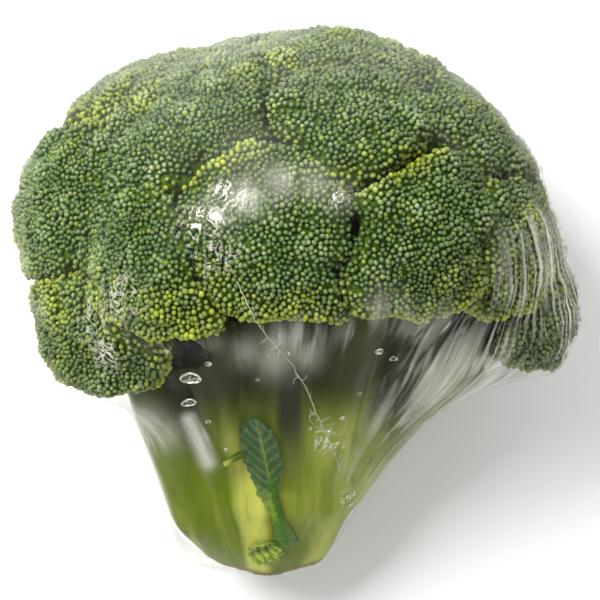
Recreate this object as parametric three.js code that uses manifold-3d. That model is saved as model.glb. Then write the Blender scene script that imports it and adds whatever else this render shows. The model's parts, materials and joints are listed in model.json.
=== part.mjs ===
// A broccoli head in clear shrink film, lying on its side. Millimetres, +Z up.
// It is grown upright first, with the stalk's cut end at height 0, +Z up the stalk and its front facing -Y.
// Then the whole plant is laid down until the cut end and the back of the crown both rest on the surface.
import * as THREE from "three";
import { mergeVertices } from "three/addons/utils/BufferGeometryUtils.js";
import Module from "manifold-3d";

const wasm = await Module();
wasm.setup();

// Crown: the dome that the bud heads fill.
const crownWidth = 154;
const crownDepth = 144;
const crownRise = 54; // from the crown's middle to its top
const crownHeight = 104; // from the cut end to the crown's middle
const crownShift = 9; // the crown sits this far to the right of the cut end's middle

// Stalk: a short, flaring trunk with shallow ribs.
const cutRadius = 20.5;
const forkRadius = 28.5; // at its widest, where the lowest branches leave
const forkHeight = 30;
const coreRadius = 14; // at its top, inside the crown
const stalkLength = 60;
const ribs = 7;
const ribDepth = 0.8;
const cutBevel = 1.6;

// Branches: one from the stalk to each bud head.
const branchFlare = 0.42; // end radius, as a share of its head's radius
const branchSpread = 0.66; // how far out it leaves the stalk's middle, as a share of the stalk's radius
const headUnderside = 0.3; // how far below its middle a head is flat, as a share of its radius
const undersideTilt = 0.9; // 0: square to the head's growth, larger: turned to face down the stalk

// Leaves: small ones left on the stalk, pressed against it by the film.
const leafThickness = 0.9;
const leafPetioleWidth = 4;
const leafLift = 0.8; // between a leaf and the stalk's ribs

// Film and clearances.
const filmThickness = 0.5;
const filmClearance = 1.4; // between the film and what it holds
const ventRadius = 5; // open middle of the film at the cut end
const pieceGap = 0.35; // between neighbouring pieces
const pressedFlat = 1.5; // how much of the crown's back is flattened where it rests

// Each bud head: where it sits on the crown (azimuth from the front, positive to the right, and angle down
// from the top, in degrees), its radius, its reach beyond the crown's dome (1 is on it), and its branch:
// the height at which it leaves the stalk and its radius there.
const heads = [
  { name: "front_middle", azimuth: -8, down: 62, radius: 30, reach: 1.0, leaves: 14, branch: 11 },
  { name: "front_left", azimuth: -35, down: 78, radius: 24, reach: 1.04, leaves: 10, branch: 9 },
  { name: "front_right", azimuth: 32, down: 65, radius: 29, reach: 1.0, leaves: 14, branch: 11 },
  { name: "left_low", azimuth: -62, down: 118, radius: 28, reach: 1.2, leaves: 4, branch: 13 },
  { name: "left_edge", azimuth: -86, down: 80, radius: 32, reach: 1.1, leaves: 12, branch: 10 },
  { name: "right_low", azimuth: 76, down: 116, radius: 21, reach: 1.22, leaves: 10, branch: 10 },
  { name: "right_middle", azimuth: 64, down: 83, radius: 26, reach: 0.98, leaves: 15, branch: 10 },
  { name: "right_high", azimuth: 84, down: 61, radius: 31, reach: 0.88, leaves: 34, branch: 8 },
  { name: "left_high", azimuth: -108, down: 57, radius: 32, reach: 1.0, leaves: 34, branch: 8 },
  { name: "top_front_left", azimuth: -48, down: 36, radius: 31, reach: 1.0, leaves: 44, branch: 7 },
  { name: "top_front_right", azimuth: 27, down: 36, radius: 30, reach: 1.0, leaves: 44, branch: 7 },
  { name: "top_middle", azimuth: 130, down: 16, radius: 32, reach: 0.92, leaves: 50, branch: 7 },
  { name: "back_right", azimuth: 112, down: 92, radius: 27, reach: 0.95, leaves: 18, branch: 9 },
  { name: "back_rest_right", azimuth: 157, down: 92, radius: 28, reach: 1.0, leaves: 14, branch: 9 },
  { name: "back_rest_left", azimuth: -157, down: 92, radius: 28, reach: 1.0, leaves: 15, branch: 9 },
  { name: "back_left", azimuth: -126, down: 94, radius: 27, reach: 1.0, leaves: 18, branch: 9 },
  { name: "back_high_right", azimuth: 130, down: 56, radius: 30, reach: 0.86, leaves: 38, branch: 7 },
  { name: "back_high_left", azimuth: -166, down: 54, radius: 31, reach: 0.93, leaves: 38, branch: 7 },
];

// Finishes.
function finish(name, color, roughness) {
  return new THREE.MeshStandardMaterial({ name, color, roughness, metalness: 0 });
}
const finishes = {
  stalk: finish("stalk_flesh", 0x93a84e, 0.45),
  branch: finish("branch_flesh", 0x7f9a44, 0.5),
  buds: finish("flower_buds", 0x4c6238, 0.7),
  leaf: finish("leaf_blade", 0x3f6b4a, 0.5),
  film: finish("clear_film", 0xe4e8e6, 0.12),
};

// Joining and cutting solids.
const bare = (geometry) => {
  const loose = geometry.index ? geometry.toNonIndexed() : geometry;
  const shape = new THREE.BufferGeometry().setAttribute("position", loose.getAttribute("position"));
  return mergeVertices(shape, 1e-3);
};

function solidOf(geometry) {
  const { index, attributes } = bare(geometry);
  return new wasm.Manifold(
    new wasm.Mesh({ numProp: 3, vertProperties: attributes.position.array, triVerts: index.array }),
  );
}

function geometryOf(solid) {
  const { numProp, vertProperties, triVerts } = solid.getMesh();
  const all = new THREE.InterleavedBuffer(vertProperties, numProp);
  const geometry = new THREE.BufferGeometry();
  geometry.setAttribute("position", new THREE.InterleavedBufferAttribute(all, 3, 0));
  geometry.setIndex(new THREE.BufferAttribute(triVerts, 1));
  return geometry.toNonIndexed();
}

// A cut can leave crumbs behind: only the largest piece is kept.
const largest = (solid) => solid.decompose().reduce((a, b) => (b.volume() > a.volume() ? b : a));

// Moves every vertex of a geometry: change(point) alters the point in place.
function reshape(geometry, change) {
  const places = geometry.getAttribute("position");
  const point = new THREE.Vector3();
  for (let i = 0; i < places.count; i++) {
    change(point.fromBufferAttribute(places, i));
    places.setXYZ(i, point.x, point.y, point.z);
  }
  return geometry;
}

// A rod along a curve: radiusAt(share along it, angle round it) is its radius.
function rod(curve, radiusAt, sides, steps) {
  const frames = curve.computeFrenetFrames(steps);
  return reshape(new THREE.CylinderGeometry(1, 1, 1, sides, steps), (p) => {
    const along = p.y + 0.5;
    const step = Math.round(along * steps);
    const angle = Math.atan2(p.z, p.x);
    const radius = Math.hypot(p.x, p.z) * radiusAt(along, angle);
    p.copy(curve.getPoint(along))
      .addScaledVector(frames.normals[step], radius * Math.cos(angle))
      .addScaledVector(frames.binormals[step], -radius * Math.sin(angle));
  });
}

const crownMiddle = new THREE.Vector3(crownShift, 0, crownHeight);

// The stalk.
const stalkPath = new THREE.QuadraticBezierCurve3(
  new THREE.Vector3(0, 0, 0),
  new THREE.Vector3(0, 0, forkHeight),
  new THREE.Vector3(crownShift, 0, stalkLength),
);
const stalkProfile = new THREE.SplineCurve([
  new THREE.Vector2(0, cutRadius),
  new THREE.Vector2(0.5 * forkHeight, cutRadius + 0.46 * (forkRadius - cutRadius)),
  new THREE.Vector2(forkHeight, forkRadius),
  new THREE.Vector2(0.5 * (forkHeight + stalkLength), 0.5 * (forkRadius + coreRadius) + 1),
  new THREE.Vector2(stalkLength, coreRadius),
]);

function stalkSolid(grow = 0) {
  const radiusAt = (along, angle) => {
    const bevel = along === 0 ? cutBevel : 0;
    return stalkProfile.getPoint(along).y + ribDepth * Math.cos(ribs * angle) - bevel + grow;
  };
  const low = stalkPath.v0.clone().setZ(-grow);
  const high = stalkPath.v2.clone().setZ(stalkLength + grow);
  return solidOf(rod(new THREE.QuadraticBezierCurve3(low, stalkPath.v1, high), radiusAt, 28, 9));
}

const branchRise = new THREE.Vector3(0.22, 0.22, 0.42); // a branch's bend, as shares of its way to its head

// A bud head is a ball that its neighbours press flat where they meet, and that is flat underneath.
function placeHead(head) {
  const [azimuth, down] = [head.azimuth, head.down].map(THREE.MathUtils.degToRad);
  const out = new THREE.Vector3(
    Math.sin(down) * Math.sin(azimuth) * (crownWidth / 2 - head.radius),
    -Math.sin(down) * Math.cos(azimuth) * (crownDepth / 2 - head.radius),
    Math.cos(down) * (crownRise - 0.8 * head.radius),
  );
  const middle = crownMiddle.clone().addScaledVector(out, head.reach);
  const share = head.leaves / stalkLength;
  const root = stalkPath.getPoint(share);
  const away = middle.clone().sub(root).setZ(0).normalize();
  root.addScaledVector(away, branchSpread * stalkProfile.getPoint(share).y);
  const upright = middle.clone().sub(root).multiply(branchRise).add(root);
  const growth = middle.clone().sub(upright).normalize();
  const under = growth.clone().setZ(growth.z + undersideTilt).normalize();
  return { ...head, middle, root, upright, growth, under };
}

const placed = heads.map(placeHead);

function pressedPlanes(head, grow) {
  const planes = [{ normal: head.under.clone().negate(), distance: headUnderside * head.radius + grow }];
  for (const other of placed) {
    if (other.name === head.name) continue;
    const normal = other.middle.clone().sub(head.middle);
    const apart = normal.length();
    const meet = (apart ** 2 + head.radius ** 2 - other.radius ** 2) / (2 * apart);
    planes.push({ normal: normal.divideScalar(apart), distance: meet - pieceGap / 2 + grow });
  }
  return planes;
}

function headGeometry(head, grow = 0) {
  const planes = pressedPlanes(head, grow);
  return reshape(new THREE.IcosahedronGeometry(1, 3), (p) => {
    p.normalize();
    const reaches = planes.map(({ normal, distance }) => {
      const facing = p.dot(normal);
      return facing > 0 ? distance / facing : Infinity;
    });
    p.multiplyScalar(Math.min(head.radius + grow, ...reaches)).add(head.middle);
  });
}

// A branch leaves the stalk's middle line, bends outwards and flares under its head.
function branchSolid(head, grow = 0) {
  const end = head.middle.clone().addScaledVector(head.growth, grow);
  const path = new THREE.QuadraticBezierCurve3(head.root, head.upright, end);
  const endRadius = branchFlare * head.radius;
  const neckRadius = Math.min(0.8 * head.branch, endRadius);
  const radiusAt = (along) => {
    const start = 0.65 + 0.35 * THREE.MathUtils.smoothstep(along, 0, 0.25);
    const slim = start * THREE.MathUtils.lerp(head.branch, neckRadius, Math.min(1, along / 0.6));
    return slim + (endRadius - neckRadius) * THREE.MathUtils.smoothstep(along, 0.6, 1) + grow;
  };
  return solidOf(rod(path, radiusAt, 9, 5));
}

// A leaf: a blade on a petiole, lying up the front of the stalk. foot and tip are its heights, across is how
// far to the right each of them sits, and curl lifts the blade's sides off the stalk.
function leafSolid({ foot, tip, across, petiole, width, curl }) {
  const length = tip - foot;
  const half = width / 2;
  const stem = leafPetioleWidth / 2;
  const outline = new THREE.Shape();
  outline.moveTo(-stem * 1.6, 0);
  for (const share of [0.33, 0.67, 1]) outline.lineTo(-stem, petiole * share);
  outline.bezierCurveTo(-half * 1.3, petiole + 0.1 * length, -half, length * 0.9, 0, length);
  outline.bezierCurveTo(half, length * 0.9, half * 1.3, petiole + 0.1 * length, stem, petiole);
  for (const share of [0.67, 0.33]) outline.lineTo(stem, petiole * share);
  outline.lineTo(stem * 1.6, 0);
  const sheet = { depth: leafThickness, bevelEnabled: false, curveSegments: 6 };
  const flat = new THREE.ExtrudeGeometry(outline, sheet);
  return solidOf(
    reshape(flat, (p) => {
      const along = p.y / length;
      const height = foot + p.y;
      const under = height < forkHeight ? stalkProfile.getPoint(height / stalkLength).y : forkRadius;
      const radius = under + ribDepth + leafLift + curl * (p.x / half) ** 2 + p.z;
      const turn = (THREE.MathUtils.lerp(across[0], across[1], along) + p.x) / radius;
      p.set(radius * Math.sin(turn), -radius * Math.cos(turn), height);
    }),
  );
}

// Grow the plant: each piece gives way to those made before it, with the piece gap between them.
const pieces = new Map();
pieces.set("stalk", stalkSolid());

const bulky = [stalkSolid(pieceGap)];
placed.forEach((head) => pieces.set("head_" + head.name, solidOf(headGeometry(head))));
const bulkyHeads = placed.map((head) => solidOf(headGeometry(head, pieceGap)));

for (const head of placed) {
  let branch = branchSolid(head);
  for (const other of bulky) branch = branch.subtract(other);
  for (const other of bulkyHeads) branch = branch.subtract(other);
  pieces.set("branch_" + head.name, largest(branch));
  bulky.push(branchSolid(head, pieceGap));
}

const leaves = {
  leaf_front: { foot: 5, tip: 54, across: [3, -3], petiole: 24, width: 15, curl: 1.5 },
  leaf_base: { foot: 1.5, tip: 12, across: [-6, -7], petiole: 2, width: 8, curl: 1 },
};
for (const [name, leaf] of Object.entries(leaves)) {
  let blade = leafSolid(leaf);
  for (const other of bulky) blade = blade.subtract(other);
  pieces.set(name, largest(blade));
}

// Lay the plant down: lean is how far its stalk points up from the surface.
const geometries = new Map([...pieces].map(([name, solid]) => [name, geometryOf(solid)]));
const isCrown = (name) => name.startsWith("head_");

function pointsOf(accept) {
  const found = [];
  for (const [name, geometry] of geometries) {
    if (!accept(name)) continue;
    const places = geometry.getAttribute("position");
    for (let i = 0; i < places.count; i++) found.push(new THREE.Vector3().fromBufferAttribute(places, i));
  }
  return found;
}

const upwards = (lean) => new THREE.Vector3(0, -Math.cos(lean), Math.sin(lean)); // the surface's normal
const lowest = (points, lean) => points.reduce((low, p) => Math.min(low, p.dot(upwards(lean))), Infinity);
const crownPoints = pointsOf(isCrown);
const stalkPoints = pointsOf((name) => name === "stalk");
let [least, most] = [0.05, 1.2];
for (let i = 0; i < 40; i++) {
  const middle = (least + most) / 2;
  if (lowest(crownPoints, middle) < lowest(stalkPoints, middle)) least = middle;
  else most = middle;
}
const lean = least;
const surface = upwards(lean);
const bedHeight = lowest(crownPoints, lean) + pressedFlat;

// Nothing is lower than height along the surface's normal.
function pressUp(p, height) {
  const below = height - p.dot(surface);
  if (below > 0) p.addScaledVector(surface, below);
  return p;
}

for (const geometry of geometries.values()) reshape(geometry, (p) => pressUp(p, bedHeight));

// The film: a skin on a capsule-shaped net of rays, pulled taut over the points of the pieces.
const filmColumns = 40; // the film's corners are every second knot of the net, both ways
const netColumns = 2 * filmColumns;
const capRows = 18; // over the top of the crown
const sideRows = 24; // from the crown's middle down the stalk
const footRows = 10; // round the cut end
const netRows = capRows + sideRows + footRows;
const netTop = crownHeight;
const netFoot = 10;
const ventAngle = Math.atan2(ventRadius, netFoot + filmClearance);
const quarter = Math.PI / 2;
const filmBed = bedHeight - pieceGap; // the film's inside is pressed flat here, where it rests

// How far a ray goes before it meets the bed.
function toBed(origin, direction) {
  const drop = -direction.dot(surface);
  return drop > 0 ? (origin.dot(surface) - filmBed) / drop : Infinity;
}

function knotAt(row, column) {
  const turn = (column / netColumns) * 2 * Math.PI;
  const side = Math.min(Math.max(row - capRows, 0), sideRows) / sideRows;
  const foot = Math.max(row - capRows - sideRows, 0) / footRows;
  const slope = (Math.min(row, capRows) / capRows) * quarter + foot * (quarter - ventAngle);
  const direction = new THREE.Vector3(
    Math.sin(slope) * Math.cos(turn),
    Math.sin(slope) * Math.sin(turn),
    Math.cos(slope),
  );
  const origin = new THREE.Vector3(crownShift / 2, 0, THREE.MathUtils.lerp(netTop, netFoot, side));
  return { origin, direction, most: toBed(origin, direction), out: 0, place: new THREE.Vector3() };
}

function moveKnot(knot, out) {
  knot.out = Math.min(out, knot.most);
  knot.place.copy(knot.origin).addScaledVector(knot.direction, knot.out);
}

// Where a point falls in the net, its row and column as fractions, and how far out the film passes it.
function inNet(p) {
  const origin = new THREE.Vector3(crownShift / 2, 0, THREE.MathUtils.clamp(p.z, netFoot, netTop));
  const way = p.clone().sub(origin);
  const out = way.length();
  const wide = Math.hypot(way.x, way.y);
  const column = ((Math.atan2(way.y, way.x) / (2 * Math.PI) + 1) % 1) * netColumns;
  const cap = Math.atan2(wide, way.z) / quarter;
  const side = (netTop - origin.z) / (netTop - netFoot);
  const foot = way.z < 0 ? Math.atan2(-way.z, wide) / (quarter - ventAngle) : 0;
  const row = way.z > 0 ? cap * capRows : capRows + side * sideRows + foot * footRows;
  return { row, column, out: Math.min(out + filmClearance, toBed(origin, way.divideScalar(out))) };
}

const pole = knotAt(0, 0);
const net = [Array(netColumns).fill(pole)];
for (let row = 1; row <= netRows; row++) {
  net.push(Array.from({ length: netColumns }, (_, column) => knotAt(row, column)));
}
for (const knot of net.flat()) moveKnot(knot, crownWidth / 2);

// Each point of the pieces lies under four knots, which share it.
const held = [];
const corners = pointsOf(() => true);
const betweenCorners = corners.map((p, i) => p.clone().lerp(corners[i % 3 === 2 ? i - 2 : i + 1], 0.5));
for (const p of [...corners, ...betweenCorners]) {
  const { row, column, out } = inNet(p);
  if (row >= netRows) continue;
  const [r, c] = [Math.floor(row), Math.floor(column)];
  const [down, along] = [row - r, column - c];
  const next = (c + 1) % netColumns;
  const knots = [net[r][c % netColumns], net[r][next], net[r + 1][c % netColumns], net[r + 1][next]];
  const shares = [(1 - down) * (1 - along), (1 - down) * along, down * (1 - along), down * along];
  held.push({ knots, shares, total: shares.reduce((sum, share) => sum + share ** 2, 0), out });
}

// The cut end holds the knots below it.
for (const knot of net.slice(capRows + sideRows + 1).flat()) {
  const out = (netFoot + filmClearance) / -knot.direction.z;
  if (out * Math.hypot(knot.direction.x, knot.direction.y) > cutRadius) continue;
  held.push({ knots: [knot], shares: [1], total: 1, out });
}

function holdOut() {
  for (const { knots, shares, total, out } of held) {
    const short = out - knots.reduce((sum, knot, i) => sum + shares[i] * knot.out, 0);
    if (short > 0) knots.forEach((knot, i) => moveKnot(knot, knot.out + (short * shares[i]) / total));
  }
}

const tautPasses = 300;
const mean = new THREE.Vector3();
for (let pass = 0; pass < tautPasses; pass++) {
  mean.set(0, 0, 0);
  for (const knot of net[1]) mean.addScaledVector(knot.place, 1 / netColumns);
  moveKnot(pole, mean.sub(pole.origin).dot(pole.direction));
  for (let row = 1; row <= netRows; row++) {
    for (let column = 0; column < netColumns; column++) {
      const knot = net[row][column];
      const before = net[row][(column + netColumns - 1) % netColumns];
      const after = net[row][(column + 1) % netColumns];
      const above = net[row - 1][column];
      const below = row === netRows ? above : net[row + 1][column];
      mean.copy(before.place).add(after.place).add(above.place).add(below.place).multiplyScalar(0.25);
      moveKnot(knot, mean.sub(knot.origin).dot(knot.direction));
    }
  }
  holdOut();
}
for (let pass = 0; pass < 60; pass++) holdOut();

// A corner of the film lies outside its knot by as much as the film's flat faces would otherwise cut in.
const knotOf = (row, column) => net[row][(column + netColumns) % netColumns];

function cornerAt(row, column) {
  const knot = knotOf(row, column);
  let cut = 0;
  for (const down of [-1, 0, 1]) {
    for (const along of [-1, 0, 1]) {
      if (row + 2 * down < 0 || row + 2 * down > netRows) continue;
      const chord = (knot.out + knotOf(row + 2 * down, column + 2 * along).out) / 2;
      cut = Math.max(cut, knotOf(row + down, column + along).out - chord);
    }
  }
  return knot.origin.clone().addScaledVector(knot.direction, Math.min(knot.out + cut, knot.most));
}

const placesOf = (points) => new THREE.BufferAttribute(new Float32Array(points.flatMap((p) => p.toArray())), 3);

function filmGeometry() {
  const filmRows = netRows / 2;
  const inner = [cornerAt(0, 0)];
  for (let row = 1; row <= filmRows; row++) {
    for (let column = 0; column < filmColumns; column++) inner.push(cornerAt(2 * row, 2 * column));
  }
  const sheet = new THREE.BufferGeometry();
  const at = (row, column) => (row === 0 ? 0 : 1 + (row - 1) * filmColumns + (column % filmColumns));
  const faces = [];
  for (let column = 0; column < filmColumns; column++) {
    faces.push(at(0, 0), at(1, column), at(1, column + 1));
    for (let row = 1; row < filmRows; row++) {
      const [a, b] = [at(row, column), at(row + 1, column)];
      const [d, c] = [at(row, column + 1), at(row + 1, column + 1)];
      faces.push(a, b, c, a, c, d);
    }
  }
  sheet.setAttribute("position", placesOf(inner));
  sheet.setIndex(faces);
  sheet.computeVertexNormals();
  const normals = sheet.getAttribute("normal");
  const outer = inner.map((p, i) => {
    const out = new THREE.Vector3().fromBufferAttribute(normals, i);
    if (p.dot(surface) < filmBed + 1e-6) out.copy(surface).negate();
    return pressUp(p.clone().addScaledVector(out, filmThickness), filmBed - filmThickness);
  });
  const count = inner.length;
  const inside = [];
  for (let i = 0; i < faces.length; i += 3) {
    inside.push(count + faces[i], count + faces[i + 2], count + faces[i + 1]);
  }
  const lip = [];
  for (let column = 0; column < filmColumns; column++) {
    const [a, b] = [at(filmRows, column), at(filmRows, column + 1)];
    lip.push(a, count + a, count + b, a, count + b, b);
  }
  const wall = new THREE.BufferGeometry().setAttribute("position", placesOf([...outer, ...inner]));
  wall.setIndex([...faces, ...inside, ...lip]);
  return wall;
}

geometries.set("film_wrap", filmGeometry());

// Assemble, lay down and stand on the surface, centred.
function finishOf(name) {
  if (name === "stalk") return finishes.stalk;
  if (name === "film_wrap") return finishes.film;
  if (name.startsWith("leaf_")) return finishes.leaf;
  return isCrown(name) ? finishes.buds : finishes.branch;
}

const plant = new THREE.Group();
for (const [name, geometry] of geometries) {
  const mesh = new THREE.Mesh(geometry, finishOf(name));
  mesh.name = name;
  plant.add(mesh);
}
plant.rotation.x = lean - Math.PI / 2;

const broccoli = new THREE.Group();
broccoli.add(plant);
broccoli.updateMatrixWorld(true);
const box = new THREE.Box3().setFromObject(broccoli, true);
const middle = box.getCenter(new THREE.Vector3());
plant.position.set(-middle.x, -middle.y, -box.min.z);

export default broccoli;
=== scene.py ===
"""A broccoli head in clear shrink film: the looks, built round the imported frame. Run it as a script.

Lengths are metres in the frame's axes: the head lies on its side on the floor, its cut end towards -Y.
The plant's own axes are right (+X), up its stalk, and front, which faces the sky.
"""
import json
import math

import bmesh
import bpy
import numpy as np
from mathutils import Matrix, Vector, noise
from mathutils.bvhtree import BVHTree
from mathutils.kdtree import KDTree

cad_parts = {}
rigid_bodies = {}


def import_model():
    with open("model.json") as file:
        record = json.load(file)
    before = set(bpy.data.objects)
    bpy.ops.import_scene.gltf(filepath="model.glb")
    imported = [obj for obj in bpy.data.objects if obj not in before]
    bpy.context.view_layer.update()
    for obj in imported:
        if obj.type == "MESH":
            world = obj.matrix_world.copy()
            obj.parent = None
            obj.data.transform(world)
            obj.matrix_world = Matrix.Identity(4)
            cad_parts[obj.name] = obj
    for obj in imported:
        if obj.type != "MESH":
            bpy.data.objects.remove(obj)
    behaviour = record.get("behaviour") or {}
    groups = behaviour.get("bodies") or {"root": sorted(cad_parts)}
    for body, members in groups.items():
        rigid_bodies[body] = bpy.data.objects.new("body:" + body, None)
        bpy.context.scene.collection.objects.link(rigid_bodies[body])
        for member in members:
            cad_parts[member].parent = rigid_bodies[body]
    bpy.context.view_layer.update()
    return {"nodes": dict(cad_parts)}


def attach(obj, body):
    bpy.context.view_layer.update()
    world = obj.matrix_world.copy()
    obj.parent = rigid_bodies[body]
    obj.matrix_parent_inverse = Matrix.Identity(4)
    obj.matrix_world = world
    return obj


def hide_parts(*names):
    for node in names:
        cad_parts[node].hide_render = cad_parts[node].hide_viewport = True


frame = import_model()

bl_info = {
    "name": "Broccoli in Shrink Film",
    "version": (1, 0, 0),
    "blender": (4, 5, 0),
    "location": "3D View > Sidebar > Broccoli",
    "description": "Builds a film-wrapped broccoli head round its packed frame",
    "category": "Add Mesh",
}

MM = 0.001
SEED = 11


def linear(code):
    """An sRGB hex colour as linear red, green, blue."""
    parts = [int(code[i : i + 2], 16) / 255 for i in (0, 2, 4)]
    return [p / 12.92 if p <= 0.04045 else ((p + 0.055) / 1.055) ** 2.4 for p in parts]


# Sizes and colours that a user would change.


def length(name, description, millimetres):
    return bpy.props.FloatProperty(
        name=name,
        description=description,
        default=millimetres * MM,
        min=0,
        subtype="DISTANCE",
        unit="LENGTH",
        precision=5,
    )


def colour(name, description, code):
    return bpy.props.FloatVectorProperty(
        name=name, description=description, default=linear(code), min=0, max=1, size=3, subtype="COLOR"
    )


class BroccoliSizes(bpy.types.PropertyGroup):
    bud_spacing: length("Bud spacing", "Between the middles of neighbouring buds", 1.6)
    bud_height: length("Bud height", "How far a bud stands out of its head", 1.55)
    valley_fill: length("Valley fill", "How fully neighbouring heads grow into one another", 6.0)
    floret_spacing: length("Floret spacing", "Between the small mounds that buds gather in", 10.5)
    floret_rise: length("Floret rise", "Depth of the creases between those mounds", 1.3)
    lump_rise: length("Lump rise", "How uneven a head's dome is", 1.1)
    skin_grain: length("Skin grain", "Mesh size of the stalk and branches", 1.15)
    film_thickness: length("Film thickness", "Drawn thicker than the real 0.02 mm", 0.06)
    film_lift: length("Film lift", "Between the film and the buds that hold it", 0.25)
    fold_height: length("Fold height", "How high the film's folds stand round the neck", 0.5)


class BroccoliColours(bpy.types.PropertyGroup):
    bud_deep: colour("Bud, deep", "Blue-green of most buds", "4a6333")
    # Pale tips: partly the wax's bloom, partly a painted highlight.
    bud_tip_wax_and_highlight: colour("Bud, light", "Waxy tips", "a6ae8c")
    bud_yellow: colour("Bud, yellow", "Young buds at a head's lower rim", "b9c41c")
    # Painted shade between the buds: each bud's foot is drawn this dark.
    bud_gap_painted_shade: colour("Between buds", "Stems seen between the buds", "1a2908")
    flesh_pale: colour("Flesh, pale", "Cream-green ridges of the stalk", "b9bd58")
    flesh_green: colour("Flesh, green", "Sides of the stalk and branches", "5b6d00")
    # Painted shade in the stalk's grooves and under the heads; also the leaf's dark mottle.
    flesh_painted_shade_and_leaf_mottle: colour("Flesh, dark", "Grooves between branches", "1a2604")
    leaf: colour("Leaf", "Blade of the small leaf", "31512f")
    leaf_vein: colour("Leaf vein", "Veins and the blade's lower margin", "93a83c")
    petiole: colour("Petiole", "The leaf's stem", "3f6a0a")


# Small tools.


def deselect():
    """Nothing selected, object mode."""
    if bpy.context.object and bpy.context.object.mode != "OBJECT":
        bpy.ops.object.mode_set(mode="OBJECT")
    bpy.ops.object.select_all(action="DESELECT")


def add(tree, kind, sockets=None, links=(), **settings):
    """Adds a node, with its settings, its unlinked sockets' values and its links."""
    node = tree.nodes.new(kind)
    for name, value in settings.items():
        setattr(node, name, value)
    for name, value in (sockets or {}).items():
        node.inputs[name].default_value = value
    for name, source in links:
        tree.links.new(source, node.inputs[name])
    return node


def new_material(name):
    """An empty material: its tree and its output node."""
    made = bpy.data.materials.new(name)
    made.use_nodes = True
    made.node_tree.nodes.clear()
    return made, made.node_tree, add(made.node_tree, "ShaderNodeOutputMaterial")


def coords(obj):
    """A mesh's corners as an array."""
    flat = np.empty(len(obj.data.vertices) * 3)
    obj.data.vertices.foreach_get("co", flat)
    return flat.reshape(-1, 3)


def move_corners(obj, points):
    obj.data.vertices.foreach_set("co", np.ascontiguousarray(points).ravel())
    obj.data.update()


def polygons(obj):
    """A mesh's faces: their corners end to end, and how many each has."""
    corners = np.empty(len(obj.data.loops), dtype=np.int64)
    obj.data.loops.foreach_get("vertex_index", corners)
    totals = np.empty(len(obj.data.polygons), dtype=np.int64)
    obj.data.polygons.foreach_get("loop_total", totals)
    return corners, totals


def mesh_from(name, points, corners, totals):
    """A smooth-shaded object from arrays."""
    mesh = bpy.data.meshes.new(name)
    mesh.vertices.add(len(points))
    mesh.vertices.foreach_set("co", np.ascontiguousarray(points, dtype=np.float32).ravel())
    mesh.loops.add(len(corners))
    mesh.loops.foreach_set("vertex_index", np.ascontiguousarray(corners, dtype=np.int32))
    mesh.polygons.add(len(totals))
    starts = np.concatenate([[0], np.cumsum(totals)[:-1]])
    mesh.polygons.foreach_set("loop_start", starts.astype(np.int32))
    mesh.polygons.foreach_set("use_smooth", np.ones(len(totals), dtype=bool))
    mesh.update(calc_edges=True)
    mesh.validate()
    obj = bpy.data.objects.new(name, mesh)
    bpy.context.scene.collection.objects.link(obj)
    return obj


def paint(obj, name, values):
    """A colour attribute from an array of three or four numbers a corner."""
    layer = obj.data.color_attributes.new(name=name, type="FLOAT_COLOR", domain="POINT")
    full = np.ones((len(values), 4), dtype=np.float32)
    full[:, : values.shape[1]] = values
    layer.data.foreach_set("color", full.ravel())


def unit(vectors):
    return vectors / np.maximum(np.linalg.norm(vectors, axis=-1, keepdims=True), 1e-12)


def smooth_step(low, high, values):
    share = np.clip((values - low) / (high - low), 0, 1)
    return share * share * (3 - 2 * share)


def spiral(count):
    """Evenly spread directions, by the golden angle."""
    index = np.arange(count) + 0.5
    height = 1 - 2 * index / count
    turn = index * math.pi * (3 - math.sqrt(5))
    wide = np.sqrt(1 - height * height)
    return np.stack([wide * np.cos(turn), wide * np.sin(turn), height], axis=1)


def noise_at(points, frequency, seed=0.0):
    """Smooth noise from -1 to 1 at each point. frequency is per metre."""
    return np.array([noise.noise(Vector(p) * frequency + Vector((seed, seed, seed))) for p in points])


def cad_mesh(name):
    """A CAD node's corners and triangles, with its doubles merged in a copy."""
    bm = bmesh.new()
    bm.from_mesh(frame["nodes"][name].data)
    bmesh.ops.remove_doubles(bm, verts=bm.verts, dist=1e-6)
    points = np.array([v.co for v in bm.verts])
    faces = [[v.index for v in face.verts] for face in bm.faces]
    bm.free()
    return points, faces


def surface_of(obj):
    """A mesh's faces, to be hit by rays."""
    faces = [face.vertices[:] for face in obj.data.polygons]
    return BVHTree.FromPolygons([v.co for v in obj.data.vertices], faces)


def select_only(obj):
    deselect()
    obj.select_set(True)
    bpy.context.view_layer.objects.active = obj


def apply_modifier(obj, kind, **settings):
    select_only(obj)
    modifier = obj.modifiers.new(kind.lower(), kind)
    for name, value in settings.items():
        setattr(modifier, name, value)
    bpy.ops.object.modifier_apply(modifier=modifier.name)


def tube_mesh(line):
    """The closed mesh of a bevelled curve, whose end caps come apart from its tubes."""
    obj = bpy.data.objects.new(line.name, line)
    bpy.context.scene.collection.objects.link(obj)
    select_only(obj)
    bpy.ops.object.convert(target="MESH")
    obj = bpy.context.object
    bpy.ops.object.mode_set(mode="EDIT")
    bpy.ops.mesh.select_all(action="SELECT")
    bpy.ops.mesh.remove_doubles(threshold=0.002 * MM)
    bpy.ops.mesh.normals_make_consistent(inside=False)
    bpy.ops.object.mode_set(mode="OBJECT")
    obj.data.materials.clear()
    return obj


def finish_piece(obj, material, nodes):
    """Given its material, held by the root body, and standing for its CAD nodes, which are hidden."""
    obj.data.materials.clear()
    obj.data.materials.append(material)
    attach(obj, "root")
    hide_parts(*nodes)


# The plant's own axes, from the cut end: the widest flat face of the stalk.


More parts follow.
